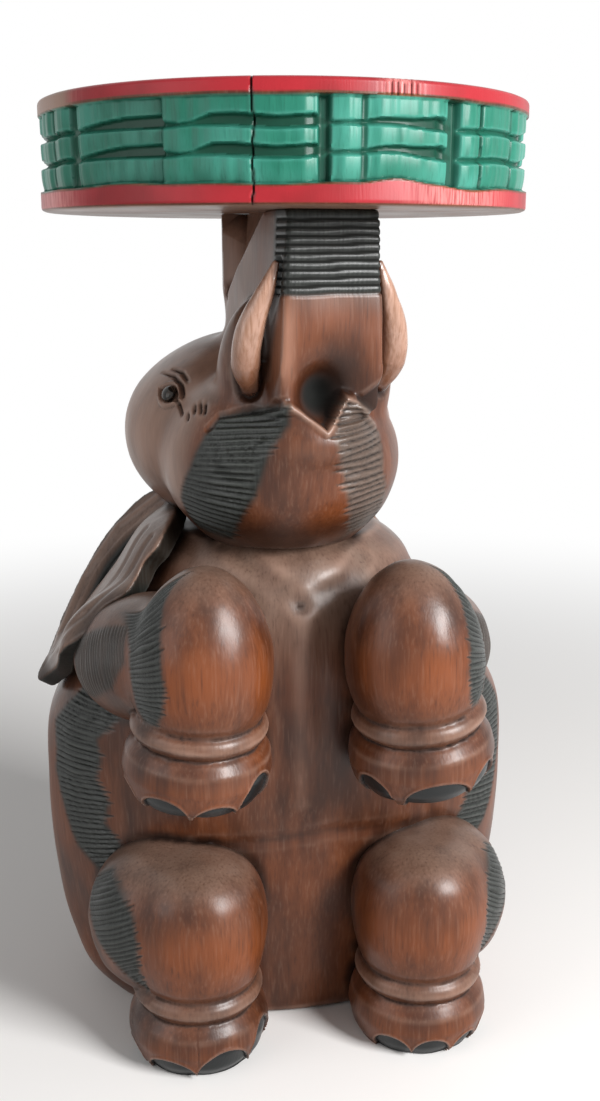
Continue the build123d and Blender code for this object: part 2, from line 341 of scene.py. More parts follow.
def addNode(tree, kind, inputs, **settings):  # an input is a value, or the socket that feeds it
    node = tree.nodes.new(kind)
    for name, value in settings.items():
        setattr(node, name, value)
    for name, value in inputs.items():
        if isinstance(value, bpy.types.NodeSocket):
            tree.links.new(value, node.inputs[name])
        else:
            node.inputs[name].default_value = value
    return node


def newFinish(name, patterns):  # an empty material and its noises: width in mm, times as long, detail
    material = bpy.data.materials.new(name)
    material.use_nodes = True
    tree = material.node_tree
    tree.nodes.clear()
    place = addNode(tree, "ShaderNodeTexCoord", {}).outputs["Object"]
    noises = {}
    for pattern, (wide, stretch, detail) in patterns.items():
        drawn = addNode(tree, "ShaderNodeMapping", {"Vector": place, "Scale": (1, 1, 1 / stretch)}).outputs[0]
        inputs = {"Vector": drawn, "Scale": 1 / (wide * mm), "Detail": detail}
        noises[pattern] = addNode(tree, "ShaderNodeTexNoise", inputs).outputs["Fac"]
    return material, tree, noises


# one more colour over what is there: where a painted mask says, broken up by a noise between two levels
def coat(tree, under, over, where=None, broken=None, between=(0.0, 1.0), amount=(0.0, 1.0)):
    share = amount[1]
    if broken is not None:
        inputs = {"Value": broken, "From Min": between[0], "From Max": between[1]}
        inputs.update({"To Min": amount[0], "To Max": amount[1]})
        share = addNode(tree, "ShaderNodeMapRange", inputs, interpolation_type="SMOOTHSTEP").outputs["Result"]
    if where:
        painted = addNode(tree, "ShaderNodeAttribute", {}, attribute_name=where).outputs["Fac"]
        share = addNode(tree, "ShaderNodeMath", {0: painted, 1: share}, operation="MULTIPLY").outputs[0]
    under, over = (toLinear(tone) if isinstance(tone, str) else tone for tone in (under, over))
    return addNode(tree, "ShaderNodeMix", {0: share, 6: under, 7: over}, data_type="RGBA").outputs[2]


def varnished(tree, colour, relief, patch, strength, deep, roughness, coatWeight, coatRoughness, shine=0.3):
    inputs = {"Value": patch, "From Min": 0.25, "From Max": 0.75}
    inputs.update({"To Min": roughness[0], "To Max": roughness[1]})
    rough = addNode(tree, "ShaderNodeMapRange", inputs).outputs["Result"]
    hollow = addNode(tree, "ShaderNodeAttribute", {}, attribute_name="hollow").outputs["Fac"]
    # the varnish stays matt in the cuts
    rough = addNode(tree, "ShaderNodeMath", {0: rough, 1: hollow}, operation="MAXIMUM").outputs[0]
    bump = addNode(tree, "ShaderNodeBump", {"Height": relief, "Strength": strength, "Distance": deep * mm})
    inputs = {"Base Color": colour, "Roughness": rough, "Normal": bump.outputs[0], "IOR": 1.48}
    inputs.update({"Specular IOR Level": shine, "Coat Weight": coatWeight, "Coat Roughness": coatRoughness})
    surface = addNode(tree, "ShaderNodeBsdfPrincipled", inputs)
    addNode(tree, "ShaderNodeOutputMaterial", {"Surface": surface.outputs[0]})


woodPlan = {
    "patterns": {  # width in mm, times as long as wide along the upright log, detail
        "grain": (1.6, 16.0, 5.0),  # pores and streaks, drawn coarse enough to show
        "figure": (14.0, 5.0, 3.0),
        "patch": (38.0, 1.4, 3.0),
    },
    "deep": "#371d12",
    "plain": "#5b3420",
    "worn": "#733a17",
    "grey": "#6f5a4e",
    "dirtAndShade": "#1c100b",
    "stain": "#121512",
    "stainLight": "#383b38",
    "stainDark": "#0f100e",
    "nail": "#141718",
    "bare": "#9c7e6e",
    "roughness": (0.27, 0.42),
}


def woodColour(tree, noises):  # upright streaks and figure of the log, orange where hands wore it
    plan = woodPlan
    grain, figure, patch = (noises[name] for name in ("grain", "figure", "patch"))
    colour = coat(tree, plan["deep"], plan["plain"], broken=figure, between=(0.3, 0.7))
    colour = coat(tree, colour, plan["worn"], broken=patch, between=(0.38, 0.7), amount=(0.0, 0.35))
    colour = coat(tree, colour, plan["worn"], "worn", figure, (0.1, 0.75), (0.45, 1.0))
    # grey tone and painted sheen: a grey sheen laid where the mask says, mostly on surfaces that face up
    colour = coat(tree, colour, plan["grey"], "grey", figure, (0.2, 0.8), (0.55, 1.0))
    colour = coat(tree, colour, plan["deep"], broken=grain, between=(0.5, 0.78), amount=(0.0, 0.55))
    return coat(tree, colour, plan["bare"], broken=grain, between=(0.5, 0.25), amount=(0.0, 0.12))


def makeCarvedWood(name):  # carved log, dark stained and varnished: satin, worn on bulges, black in cuts
    material, tree, noises = newFinish(name, woodPlan["patterns"])
    plan, grain, patch = woodPlan, noises["grain"], noises["patch"]
    colour = woodColour(tree, noises)
    colour = coat(tree, colour, plan["bare"], "pale", noises["figure"], (0.2, 0.8), (0.55, 1.0))
    colour = coat(tree, colour, plan["bare"], "edge", patch, (0.3, 0.7), (0.1, 0.5))
    # dirt and painted shade: darker in the cuts and hollows
    colour = coat(tree, colour, plan["dirtAndShade"], "hollow", patch, (0.1, 0.6), (0.6, 1.0))
    # painted shade and grime: where pieces meet, under things and in shaded corners
    colour = coat(tree, colour, plan["dirtAndShade"], "grime", patch, (0.25, 0.7), (0.45, 1.0))
    stained = coat(tree, plan["stain"], plan["stainLight"], "edge")
    stained = coat(tree, stained, plan["stainLight"], broken=grain, between=(0.35, 0.75), amount=(0.0, 0.5))
    stained = coat(tree, stained, plan["stainDark"], "hollow")
    colour = coat(tree, colour, stained, "stain")
    colour = coat(tree, colour, plan["nail"], "nail")
    varnished(tree, colour, grain, patch, 0.22, 0.4, plan["roughness"], 0.0, 0.3, 0.36)
    return material


paintPlan = {
    "patterns": {**woodPlan["patterns"], "brush": (1.1, 12.0, 3.0)},  # brush marks and chisel lines
    "green": "#206a57",
    "greenLight": "#459080",
    "greenDark": "#04392a",
    "red": "#9a222a",
    "redDark": "#6f161a",
    "redWorn": "#cf8480",
    "redHollow": "#4a1113",
    "crack": "#14100d",
    "roughness": (0.3, 0.46),
}


def makeRimPaint(name):  # enamel brushed over chip carving: thin on edges, dark in the cuts; wood elsewhere
    material, tree, noises = newFinish(name, paintPlan["patterns"])
    plan, brush, patch = paintPlan, noises["brush"], noises["patch"]
    wood = woodColour(tree, noises)
    wood = coat(tree, wood, woodPlan["bare"], "pale")
    # dirt and painted shade in the hollows of the bare wood
    wood = coat(tree, wood, woodPlan["dirtAndShade"], "hollow")
    green = coat(tree, plan["green"], plan["greenLight"], None, patch, (0.4, 0.65), (0.0, 0.7))
    green = coat(tree, green, plan["greenDark"], None, brush, (0.5, 0.75), (0.0, 0.3))
    green = coat(tree, green, plan["greenLight"], "edge", amount=(0.0, 0.4))
    # painted shade: dark green under the bars, in the upright cuts and on the elephant's right front
    green = coat(tree, green, plan["greenDark"], "shade")
    # dark paint and painted shade in the hollows
    green = coat(tree, green, plan["greenDark"], "hollow", amount=(0.0, 0.6))
    red = coat(tree, plan["red"], plan["redDark"], None, patch, (0.4, 0.65), (0.0, 0.6))
    red = coat(tree, red, plan["redWorn"], "worn", brush, (0.3, 0.6), (0.2, 1.0))
    # dark paint and painted shade in the hollows
    red = coat(tree, red, plan["redHollow"], "hollow")
    colour = coat(tree, wood, red, "red")
    colour = coat(tree, colour, green, "green")
    colour = coat(tree, colour, plan["crack"], "crack")
    varnished(tree, colour, brush, patch, 0.25, 0.3, plan["roughness"], 0.08, 0.25, 0.22)
    return material


tuskFinishPlan = {
    "patterns": {"streak": (1.2, 14.0, 4.0), "patch": (9.0, 2.0, 2.0)},
    "pale": "#a88472",
    "low": "#76492f",
    "streak": "#8d6852",
    "roughness": (0.22, 0.32),
}


def makeTuskFinish(name):  # pale rubbed wood under the same varnish, browner towards the root
    material, tree, noises = newFinish(name, tuskFinishPlan["patterns"])
    plan, streak, patch = tuskFinishPlan, noises["streak"], noises["patch"]
    colour = coat(tree, plan["pale"], plan["streak"], broken=streak, between=(0.35, 0.7))
    colour = coat(tree, colour, plan["low"], "low", patch, (0.2, 0.7), (0.5, 1.0))
    # painted shade and grime at the root
    colour = coat(tree, colour, woodPlan["deep"], "grime")
    varnished(tree, colour, streak, patch, 0.2, 0.3, plan["roughness"], 0.2, 0.15, 0.5)
    return material


eyeFinishPlan = {
    "patterns": {"iris": (2.5, 1.0, 2.0)},
    "dark": "#15120f",
    "brown": "#3b3028",
    "roughness": (0.1, 0.14),
}


def makeEyeBead(name):  # a dark polished bead with a cloudy iris
    material, tree, noises = newFinish(name, eyeFinishPlan["patterns"])
    plan, iris = eyeFinishPlan, noises["iris"]
    colour = coat(tree, plan["dark"], plan["brown"], broken=iris, between=(0.4, 0.7))
    varnished(tree, colour, iris, iris, 0.02, 0.1, plan["roughness"], 0.05, 0.1, 0.3)
    return material


carvedWood = makeCarvedWood("varnishedCarvedWood")
rimPaint = makeRimPaint("brushedRimEnamel")
tuskFinish = makeTuskFinish("rubbedPaleWood")
eyeBead = makeEyeBead("darkEyeBead")

topPlan = {
    "radius": 140.0,
    "foot": 501.0,
    "height": 560.0,
    "bandTop": 8.0,
    "bandFoot": 10.0,
    "bars": 3,
    "recessDeep": 5.5,
    "columns": (560, 300),  # finer in front than behind
    "rimRows": 84,
    "flatRows": 9,
    "corner": 2.2,  # the rim's corners are rubbed round
    # upright cuts across the bars: degrees from the front towards the elephant's left, half width, depth
    "cuts": [
        (-60.8, 1.9, 4.5), (0.0, 1.6, 6.5), (8.2, 0.9, 3.2), (30.0, 2.2, 6.5), (38.7, 0.8, 3.4),
        (53.0, 0.7, 3.2), (74.0, 1.9, 4.5), (82.0, 0.8, 3.0), (110.0, 2.2, 6.5), (118.5, 0.9, 3.2),
        (142.0, 1.8, 5.0), (150.5, 0.8, 3.2), (176.0, 2.2, 6.5), (-175.5, 0.9, 3.0), (-152.0, 1.9, 6.0),
        (-143.0, 0.8, 3.2), (-118.0, 2.2, 6.5), (-109.5, 0.9, 3.2), (-84.0, 1.6, 3.5), (-71.0, 0.8, 2.5),
    ],
    # how tall and deep the dark recess under a bar grows, by degrees
    "recess": [
        (-180, 0.4), (-153, 1.0), (-150, 0.3), (-143, 0.3), (-120, 0.9), (-116, 0.3), (-109, 0.3),
        (-86, 0.6), (-82, 0.3), (-64, 0.3), (-58.6, 0.12), (-56, 0.3), (-50, 0.6), (-44, 0.88),
        (-33.8, 1.0), (-33.4, 0.35), (-30, 0.12), (-27, 0.3), (-23, 0.85), (-18, 0.95), (-10, 0.8),
        (-2, 0.9), (2, 0.25), (8, 0.3), (11, 0.45), (19, 0.6), (26.5, 1.0), (32, 0.25), (53, 0.3),
        (57, 0.3), (72, 0.9), (76, 0.25), (82, 0.3), (108, 1.0), (112, 0.25), (119, 0.3), (140, 0.95),
        (144, 0.3), (150, 0.3), (174, 1.0), (180, 0.4),
    ],
    # how far a bar's face is set back, by degrees
    "face": [
        (-180, 0.5), (-92, 0.5), (-57, 0.3), (-48, 1.0), (-33.7, 2.3), (-33.5, 0.1), (-30.5, 0.2), (-27, 1.3),
        (-20, 0.8), (-12, 0.3), (-2, 0.8), (10, 0.9), (20, 0.5), (28, 0.2), (60, 0.3), (74, 1.0), (110, 0.5),
        (180, 0.5),
    ],
    "crack": (-14.5, 0.22, 1.6),
    "gouges": (10.5, 21.0),
}


def carveRim(turn, height):  # how far in the chisel went, and the paint masks
    plan = topPlan
    wave = 0.5 * np.sin(turn / 9) + 0.3 * np.sin(turn / 3.7 + 1)
    low = plan["foot"] + plan["bandFoot"] + wave + 2.4 * hump(turn, 15, 9) - 1.2 * hump(turn, 33, 12)
    high = plan["height"] - plan["bandTop"] + 0.4 * wave
    share = (high - height) / (high - low)
    inBand = (share > 0) & (share < 1)
    rowShare = np.clip(share, 0, 0.999) * plan["bars"] + 0.035 * np.sin(turn / 5.3)
    row = np.clip(np.floor(rowShare), 0, plan["bars"] - 1)
    part = rowShare - row
    grow = np.interp(turn, *np.array(plan["recess"]).T)
    face = np.interp(turn, *np.array(plan["face"]).T)
    begins = 1 - 0.4 * grow
    lowest = row > plan["bars"] - 1.5
    deep = plan["recessDeep"] * (0.45 + 0.55 * grow)
    under = np.where(lowest, 0, smoothStep(begins - 0.07, begins + 0.05, part))
    ledge = np.where(row < 0.5, 0, 1 - smoothStep(0.0, 0.16, part))
    barSink = face + 0.9 * (part - 0.25) ** 2 * (1 + row)
    sink = np.maximum(barSink, np.maximum(under, ledge) * deep)
    flute = np.array([noise.noise(Vector((t * 0.55, r * 3.1, 0.5))) for t, r in zip(turn, row)])
    sink += 0.5 * flute * (1 - np.maximum(under, ledge))
    cutShade = np.zeros(len(turn))
    for place, half, depth in plan["cuts"]:
        away = np.abs((turn - place + 180) % 360 - 180)
        shoulder = 1.6 * (1 - smoothStep(0, 2.6, away - half)) * min(depth / 4, 1)
        floor = 1 - smoothStep(0.55 * half, 1.15 * half, away)
        sink = np.maximum(sink + shoulder, depth * floor)
        cutShade = np.maximum(cutShade, floor)
    inner = np.minimum(height - low, high - height)
    edge = smoothStep(0, 0.9, inner)
    sink = np.where(inBand, sink * edge + 0.6 * edge, 0)
    gougeLow, gougeHigh = plan["gouges"]
    gouge = hump(turn, (gougeLow + gougeHigh) / 2, (gougeHigh - gougeLow) / 1.6) * (height > high)
    sink += gouge * 1.2 * np.clip(np.sin(turn * 4.3) * 1.4 - 0.3, 0, 1)
    place, half, depth = plan["crack"]
    away = np.abs(turn - place - 0.16 * np.sin(height / 4.7) - 0.06 * np.sin(height / 1.3))
    crack = 1 - smoothStep(0.3 * half, 1.3 * half, away)
    sink += crack * depth
    green = smoothStep(0.0, 0.6, inner)
    red = np.maximum(smoothStep(0.9, 1.5, height - high), smoothStep(0.5, 1.1, low - height))
    bareLeft = smoothStep(-56, -64, turn) * smoothStep(-104, -84, turn) * (height > high)
    # worn paint at the gouges and round -72 degrees; the pink at 32 degrees on the lower band is a painted
    # reflection of the key lamp
    worn = gouge + 0.8 * hump(turn, 32, 22) * (height < low) + 0.9 * hump(turn, -72, 20)
    shade = np.maximum(under * smoothStep(0.1, 0.5, grow), 0.85 * cutShade)
    shade = np.maximum(shade, 0.4 * hump(turn, -34, 34))  # painted shade on the paint at the elephant's right front, away from the key lamp
    return sink, green, red * (1 - bareLeft), worn, shade, crack, 0.7 * bareLeft


def makeRoundTop():
    plan = topPlan
    foot, height, radius, corner = plan["foot"], plan["height"], plan["radius"], plan["corner"]
    front, behind = plan["columns"]
    flat, rows = plan["flatRows"], plan["rimRows"] + 2 * plan["flatRows"]
    piece, column, row = rolledSheet(front + behind, rows)
    turn = np.interp(column, [0, front / (front + behind), 1], [-95, 95, 265])  # degrees from the front
    turn = (turn + 180) % 360 - 180
    index = np.round(row * rows)
    reach = np.interp(index, [0, flat, rows - flat, rows], [0, 1, 1, 0])
    wall = foot + np.clip((index - flat) / plan["rimRows"], 0, 1) * (height - foot)
    rounding = np.minimum(np.minimum(wall - foot, height - wall) / corner, 1)
    onWall = reach >= 1
    sink, green, red, worn, shade, crack, bare = carveRim(turn, wall)
    angle = np.radians(turn)
    size = (radius - corner) * reach
    rim = radius - corner * (1 - np.sqrt(1 - (1 - rounding) ** 2)) - sink
    rim += 0.5 * np.sin(2 * angle + 0.7) - 0.5  # the disc was rounded by hand
    size = np.where(onWall, rim, size)
    points = np.stack([np.sin(angle) * size, -np.cos(angle) * size, wall], 1)
    under = index <= flat
    paintPoints(
        piece,
        green=green * onWall,
        red=np.where(onWall, red, ~under * smoothStep(0.93, 0.99, reach)) * (wall > foot + 0.8),
        worn=worn,
        shade=shade,
        crack=crack * onWall,
        pale=np.maximum(0.4 * under, bare * onWall),
    )
    sewnUp(piece, points)
    relief = hollowness(piece, 5)
    paintPoints(piece, hollow=smoothStep(0.05, 0.5, relief), edge=smoothStep(0.03, 0.5, -relief))
    return finished(joined("round_top_carved", piece), rimPaint, "painted_rim", "round_top")


legProfile = [
    (0, 0), (33, 0), (36.5, 1.5), (40.5, 8), (43, 19), (41.5, 29), (37.5, 35), (34.0, 37.5),
    (37.0, 39), (39.7, 43.5), (38, 48), (34.8, 50.5),
]
hindPlan = {
    "soleX": {right: -63.0, left: 75.0},
    "soleY": -58.0,
    "lean": 3.0,
    "knee": [(38.5, 58), (42, 70), (43.5, 84), (42.5, 100), (38, 114), (29.5, 124), (16, 130), (0, 132)],
    "thighX": {right: -83.0, left: 89.0},
    "thigh": (-44.0, 84.0),
    "thighRadii": (46.0, 46.0, 49.0),
    "backFace": -18.0,
    "melt": 90,
    # degrees towards the outer side, and height along the leg
    "hatch": {
        "outer": [(116, 106), (104, 94), (78, 71), (63, 50)],
        "inner": [(104, 119), (92, 117), (79, 112), (63, 103), (56, 88), (57, 70), (59, 52)],
        "count": 27,
    },
    # nails: middle in degrees towards +X, half width in degrees, foot and top height
    "nails": {
        right: [(-30, 24, 1, 15), (18, 25, 1, 21), (62, 20, 2, 27), (-76, 18, 1, 14)],
        left: [(-36, 19, 1, 16), (0, 18, 1, 16), (34, 16, 1, 14), (68, 16, 1, 15)],
    },
    "seam": {right: -5.0, left: None},
}
forePlan = {
    "soleX": {right: -63.5, left: 71.0},
    "kneeX": {right: -59.5, left: 62.0},
    "sole": (-78.0, 177.0),
    "lean": 7.0,
    "knee": [(38, 57), (40.5, 66), (41, 77), (39.5, 94), (33, 111), (24, 125), (12, 135), (0, 138)],
    "kneeHeight": 77.0,
    "armX": {right: -85.0, left: 78.0},
    "arm": (-46.0, 248.0),
    "armRadii": (39.0, 39.0, 66.0),
    "armSwing": 28.0,
    "armDrop": 13.0,
    "glue": 40.0,
    "glueTurn": 40.0,
    "melt": 80,
    "hatch": {
        "outer": [(122, 99), (100, 93), (88, 88), (72, 67), (63, 52)],
        "inner": [(84, 134), (72, 129), (62, 121), (50, 110), (42, 99), (34, 80), (36, 64), (44, 54)],
        "count": 28,
    },
    "nails": {
        right: [(-33, 22, 1, 14), (12, 19, 1, 11), (52, 21, 1, 24), (-76, 16, 1, 12)],
        left: [(-58, 20, 2, 19), (0, 30, 1, 17), (48, 18, 2, 19), (-98, 14, 2, 14)],
    },
    "seam": {right: None, left: None},
    # the outer side of the upper arm: millimetres along the arm, degrees from its top
    "elbow": {
        "outer": [(-27, -48), (0, -54), (34, -62)],
        "inner": [(-30, -84), (-14, -106), (12, -118), (38, -122)],
        "count": 22,
    },
}
legRadius = 40.0  # mm, turns degrees round a leg into lengths on its skin
nailZone = {"foot": 0.4, "top": 27, "turn": 110}  # heights in mm and degrees from the front


def legFrame(plan, side, fore):
    if fore:
        sole = np.array([plan["soleX"][side], *plan["sole"]])
        rise = plan["kneeHeight"]
        way = np.array([plan["kneeX"][side] - sole[0], -math.tan(math.radians(plan["lean"])) * rise, rise])
        return sole, way / np.linalg.norm(way)
    lean = math.radians(plan["lean"])
    return np.array([plan["soleX"][side], plan["soleY"], 0]), np.array([0, -math.sin(lean), math.cos(lean)])


def armFrame(side):  # middle, direction towards the shoulder, up and outward directions of the upper arm
    swing, drop = math.radians(forePlan["armSwing"]), math.radians(forePlan["armDrop"])
    way = np.array([side * math.sin(swing), math.cos(swing) * math.cos(drop), -math.sin(drop)])
    way /= np.linalg.norm(way)
    up = np.array([0, 0, 1.0]) - way * way[2]
    up /= np.linalg.norm(up)
    return np.array([forePlan["armX"][side], *forePlan["arm"]]), way, up, np.cross(way, up) * -side


def armFlat(points, side):
    centre, way, up, outward = armFrame(side)
    reach = points - centre
    turn = np.arctan2(reach @ outward, reach @ up)
    return np.stack([reach @ way, turn * legRadius], 1)


def carveLeg(piece, plan, side, fore, seed):
    base, along = legFrame(plan, side, fore)
    flip = np.array([side, 1.0])
    points = getPoints(piece)
    flat = unrolled(points, base, along, legRadius)
    points = averaged(piece, points, plan["melt"], smoothStep(56, 66, flat[:, 1]))
    setPoints(piece, points)
    outer, inner = (arc(plan["hatch"][key], legRadius) for key in ("outer", "inner"))
    near = (flat[:, 1] < nailZone["top"]) & (np.abs(flat[:, 0]) < math.radians(nailZone["turn"]) * legRadius)
    near &= points[:, 2] > base[2] + nailZone["foot"]
    near |= insideBy(flat * flip, outer + inner[::-1]) > -7
    if fore:
        above, below = (arcAlong(plan["elbow"][key], legRadius) for key in ("outer", "inner"))
        near |= insideBy(armFlat(points, side), above + below[::-1]) > -5
    finer(piece, near)
    points, normals = getPoints(piece), getNormals(piece)
    flat = unrolled(points, base, along, legRadius)
    nail = np.zeros(len(points))
    cut, stain = hatch(flat * flip, outer, inner, plan["hatch"]["count"], seed)
    sink = 1.1 * cut
    if fore:
        cut, dye = hatch(armFlat(points, side), above, below, plan["elbow"]["count"], seed + 5, 1.1)
        sink, stain = np.maximum(sink, 0.55 * cut), np.maximum(stain, 0.8 * dye)
    turn = np.degrees(flat[:, 0] / legRadius)
    for middle, half, foot, top in plan["nails"][side]:
        away = (turn - middle) / half
        brow = foot + (top - foot) * np.sqrt(np.clip(1 - away**2, 0, 1))
        inside = smoothStep(-0.5, 0.4, brow - flat[:, 1]) * (np.abs(away) < 1) * (flat[:, 1] > -3)
        bulge = 0.7 * np.clip(1 - away**2, 0, 1)
        sink += inside * (2.1 - bulge)
        sink -= 0.5 * hump(flat[:, 1] - brow, 1.6, 1.8) * (np.abs(away) < 1)
        nail = np.maximum(nail, inside)
    if plan["seam"][side] is not None:
        onHoof = smoothStep(9, 12, flat[:, 1]) * (flat[:, 1] < 40)
        sink += 0.5 * hump(turn - plan["seam"][side], 0, 0.9) * onHoof
    sink += 0.35 * bumps(points, 14, seed) * (flat[:, 1] > 2)
    setPoints(piece, points - normals * sink[:, None])
    relief = hollowness(piece)
    front = smoothStep(0.1, 0.8, -normals[:, 1])
    knee = hump(flat[:, 1], 80, 36) * front * smoothStep(-60, -5, 25 - flat[:, 0] * side)
    tops = smoothStep(0.35, 0.95, normals[:, 2]) * (flat[:, 1] > 60)
    lowHoof = hump(flat[:, 1], 14, 16) * front * 0.55
    paintPoints(
        piece,
        stain=stain,
        nail=nail,
        worn=np.maximum(knee, lowHoof) * (1 - 0.6 * bumps(points, 30, seed + 3)),
        # painted sheen: grey on the tops that face up, and grey round the ankle ring
        grey=tops * 0.9 + 0.35 * hump(flat[:, 1], 46, 14),
        hollow=smoothStep(0.04, 0.45, relief),
        edge=smoothStep(0.03, 0.3, -relief),
    )


def makeHindLeg(side):
    base, along = legFrame(hindPlan, side, False)
    name = "hind_leg_" + sideNames[side]
    profile = [(0, 0), (34, 0)] + [(r, h + 6) for r, h in legProfile[2:] + hindPlan["knee"]]
    shin = turned(base - along * 6, along, profile)
    thigh = ball((hindPlan["thighX"][side], *hindPlan["thigh"]), hindPlan["thighRadii"])
    piece = clay(joined(name + "_carved", shin, thigh), 1.3)
    cutFlat(piece, (0, 0, 0), (0, 0, -1))
    cutFlat(piece, (0, hindPlan["backFace"], 0), (0, 1, 0))
    carveLeg(piece, hindPlan, side, False, 20 + side)
    return finished(piece, carvedWood, "carved_wood", name)


def makeForeLeg(side):
    sole, along = legFrame(forePlan, side, True)
    name = "foreleg_" + sideNames[side]
    shin = turned(sole, along, legProfile + forePlan["knee"])
    centre, way, _, _ = armFrame(side)
    arm = ball(centre, forePlan["armRadii"], way)
    piece = clay(joined(name + "_carved", shin, arm), 1.3)
    turn = math.radians(forePlan["glueTurn"])
    outward = np.array([side * math.sin(turn), -math.cos(turn), 0])
    knee = sole + np.array([forePlan["kneeX"][side] - sole[0], 0, forePlan["kneeHeight"]])
    cutFlat(piece, knee - outward * forePlan["glue"], -outward)
    cutFlat(piece, (0, 0, bodyPlan["neck"]), (0, 0, 1))
    carveLeg(piece, forePlan, side, True, 30 + side)
    return finished(piece, carvedWood, "carved_wood", name)


bodyPlan = {
    "centre": (-1.5, 22.0),
    "neck": 313.0,
    "sections": [  # height, half width, front y, back y
        (0.0, 110.0, -36.0, 100.0),
        (14.0, 124.0, -38.0, 115.0),
        (46.0, 138.0, -42.0, 129.0),
        (95.0, 147.0, -50.0, 137.0),
        (150.0, 149.0, -60.0, 138.0),
        (205.0, 143.0, -66.0, 133.0),
        (250.0, 113.0, -68.0, 119.0),
        (285.0, 87.0, -62.0, 104.0),
        (303.0, 76.0, -54.0, 96.0),
        (313.0, 62.0, -43.0, 84.0),
    ],
    "tail": [(-2.0, 127.0, 172.0), (0.0, 136.0, 140.0), (3.0, 135.0, 108.0), (2.0, 131.0, 78.0)],
    "tailRadii": [5.0, 6.0, 5.5, 8.0],
    "radius": 140.0,
    # flank hatching: degrees towards the outer side, and height
    "flankOuter": [
        (74, 224), (78, 211), (83, 194), (81, 178), (82, 162), (79, 143), (77, 128), (75, 116), (70, 103),
    ],
    "flankInner": [
        (60, 224), (60, 208), (66, 192), (65, 179), (67, 166), (64, 152), (66, 138), (63, 126), (60, 106),
    ],
    "flankCount": 38,
    "crease": [(-60, -50, 128), (-17.6, -55, 131), (19, -57, 135), (67, -48, 132)],
    "chest": [
        [(-34, -45, 308), (-17, -55, 294), (0, -61, 280)],
        [(42, -42, 303), (28, -52, 291), (0, -61, 280)],
    ],
    "chestRidge": [(0, -62, 282), (-0.7, -65, 223), (0, -60, 157)],
}


def bodySkin(height):  # half width, front and back at any height, smooth between the sections
    table = np.array(bodyPlan["sections"])
    slopes = np.gradient(table[:, 1:], table[:, 0], axis=0)
    spot = np.clip(np.searchsorted(table[:, 0], height, side="right") - 1, 0, len(table) - 2)
    gap = table[spot + 1, 0] - table[spot, 0]
    t = ((np.clip(height, table[0, 0], table[-1, 0]) - table[spot, 0]) / gap)[:, None]
    low, high = table[spot, 1:], table[spot + 1, 1:]
    lowSlope, highSlope = slopes[spot] * gap[:, None], slopes[spot + 1] * gap[:, None]
    return (
        (2 * t**3 - 3 * t**2 + 1) * low
        + (t**3 - 2 * t**2 + t) * lowSlope
        + (3 * t**2 - 2 * t**3) * high
        + (t**3 - t**2) * highSlope
    )


def tube(points, radii):  # a rounded horn along a smooth line
    bpy.ops.curve.primitive_nurbs_path_add()
    line = bpy.context.object
    line.data.splines.clear()
    spline = line.data.splines.new("BEZIER")
    spline.bezier_points.add(len(points) - 1)
    for spot, point, radius in zip(spline.bezier_points, points, radii):
        spot.co = Vector(point) * mm
        spot.radius = radius
        spot.handle_left_type = spot.handle_right_type = "AUTO"
    line.data.bevel_depth = mm
    line.data.bevel_resolution = 8
    line.data.resolution_u = 16
    line.data.use_fill_caps = True
    pickOnly(line)
    bpy.ops.object.convert(target="MESH")
    piece = applyPlace(bpy.context.object)
    tips = [ball(points[0], (radii[0],) * 3), ball(points[-1], (radii[-1],) * 3)]
    return joined("tube", piece, *tips)


def carveBody(piece):
    plan = bodyPlan
    axis = np.array([*plan["centre"], 0.0])
    upright = np.array([0, 0, 1.0])
    outer, inner = arc(plan["flankOuter"], plan["radius"]), arc(plan["flankInner"], plan["radius"])
    flat = unrolled(getPoints(piece), axis, upright, plan["radius"])
    folded = np.stack([np.abs(flat[:, 0]), flat[:, 1]], 1)
    finer(piece, insideBy(folded, outer + inner[::-1]) > -8, 2)
    points, normals = getPoints(piece), getNormals(piece)
    flat = unrolled(points, axis, upright, plan["radius"])
    sink, stain = np.zeros(len(points)), np.zeros(len(points))
    for side in sides:
        spot = flat * np.array([side, 1.0])
        cut, dye = hatch(spot, outer, inner, plan["flankCount"], 40 + side, 1.7, 5.0)
        sink, stain = np.maximum(sink, 1.3 * cut), np.maximum(stain, dye)
    front = points[:, 1] < 0
    sink += 1.0 * hump(nearLine(points, plan["crease"])[0], 0, 8) * front
    for line in plan["chest"]:
        sink += 1.4 * hump(nearLine(points, line)[0], 0, 10) * front
    sink -= 1.6 * hump(nearLine(points, plan["chestRidge"])[0], 0, 15) * front
    sink += 0.9 * bumps(points, (26, 26, 60), 4) * smoothStep(2, 14, points[:, 2])
    setPoints(piece, points - normals * sink[:, None])
    relief = hollowness(piece)
    high = smoothStep(225, 290, points[:, 2])
    frontness = smoothStep(0.2, 0.9, -normals[:, 1])
    patchy = bumps(points, (40, 40, 70), 9)
    paintPoints(
        piece,
        stain=stain,
        # painted sheen: grey on the upper chest and on surfaces that face up
        grey=high * frontness + smoothStep(0.3, 0.9, normals[:, 2]) * 0.7,
        worn=smoothStep(0.1, 0.8, patchy + 0.25) * (1 - high) * (1 - 0.75 * frontness) * 0.8,
        hollow=smoothStep(0.06, 0.5, relief),
        edge=smoothStep(0.05, 0.4, -relief),
    )


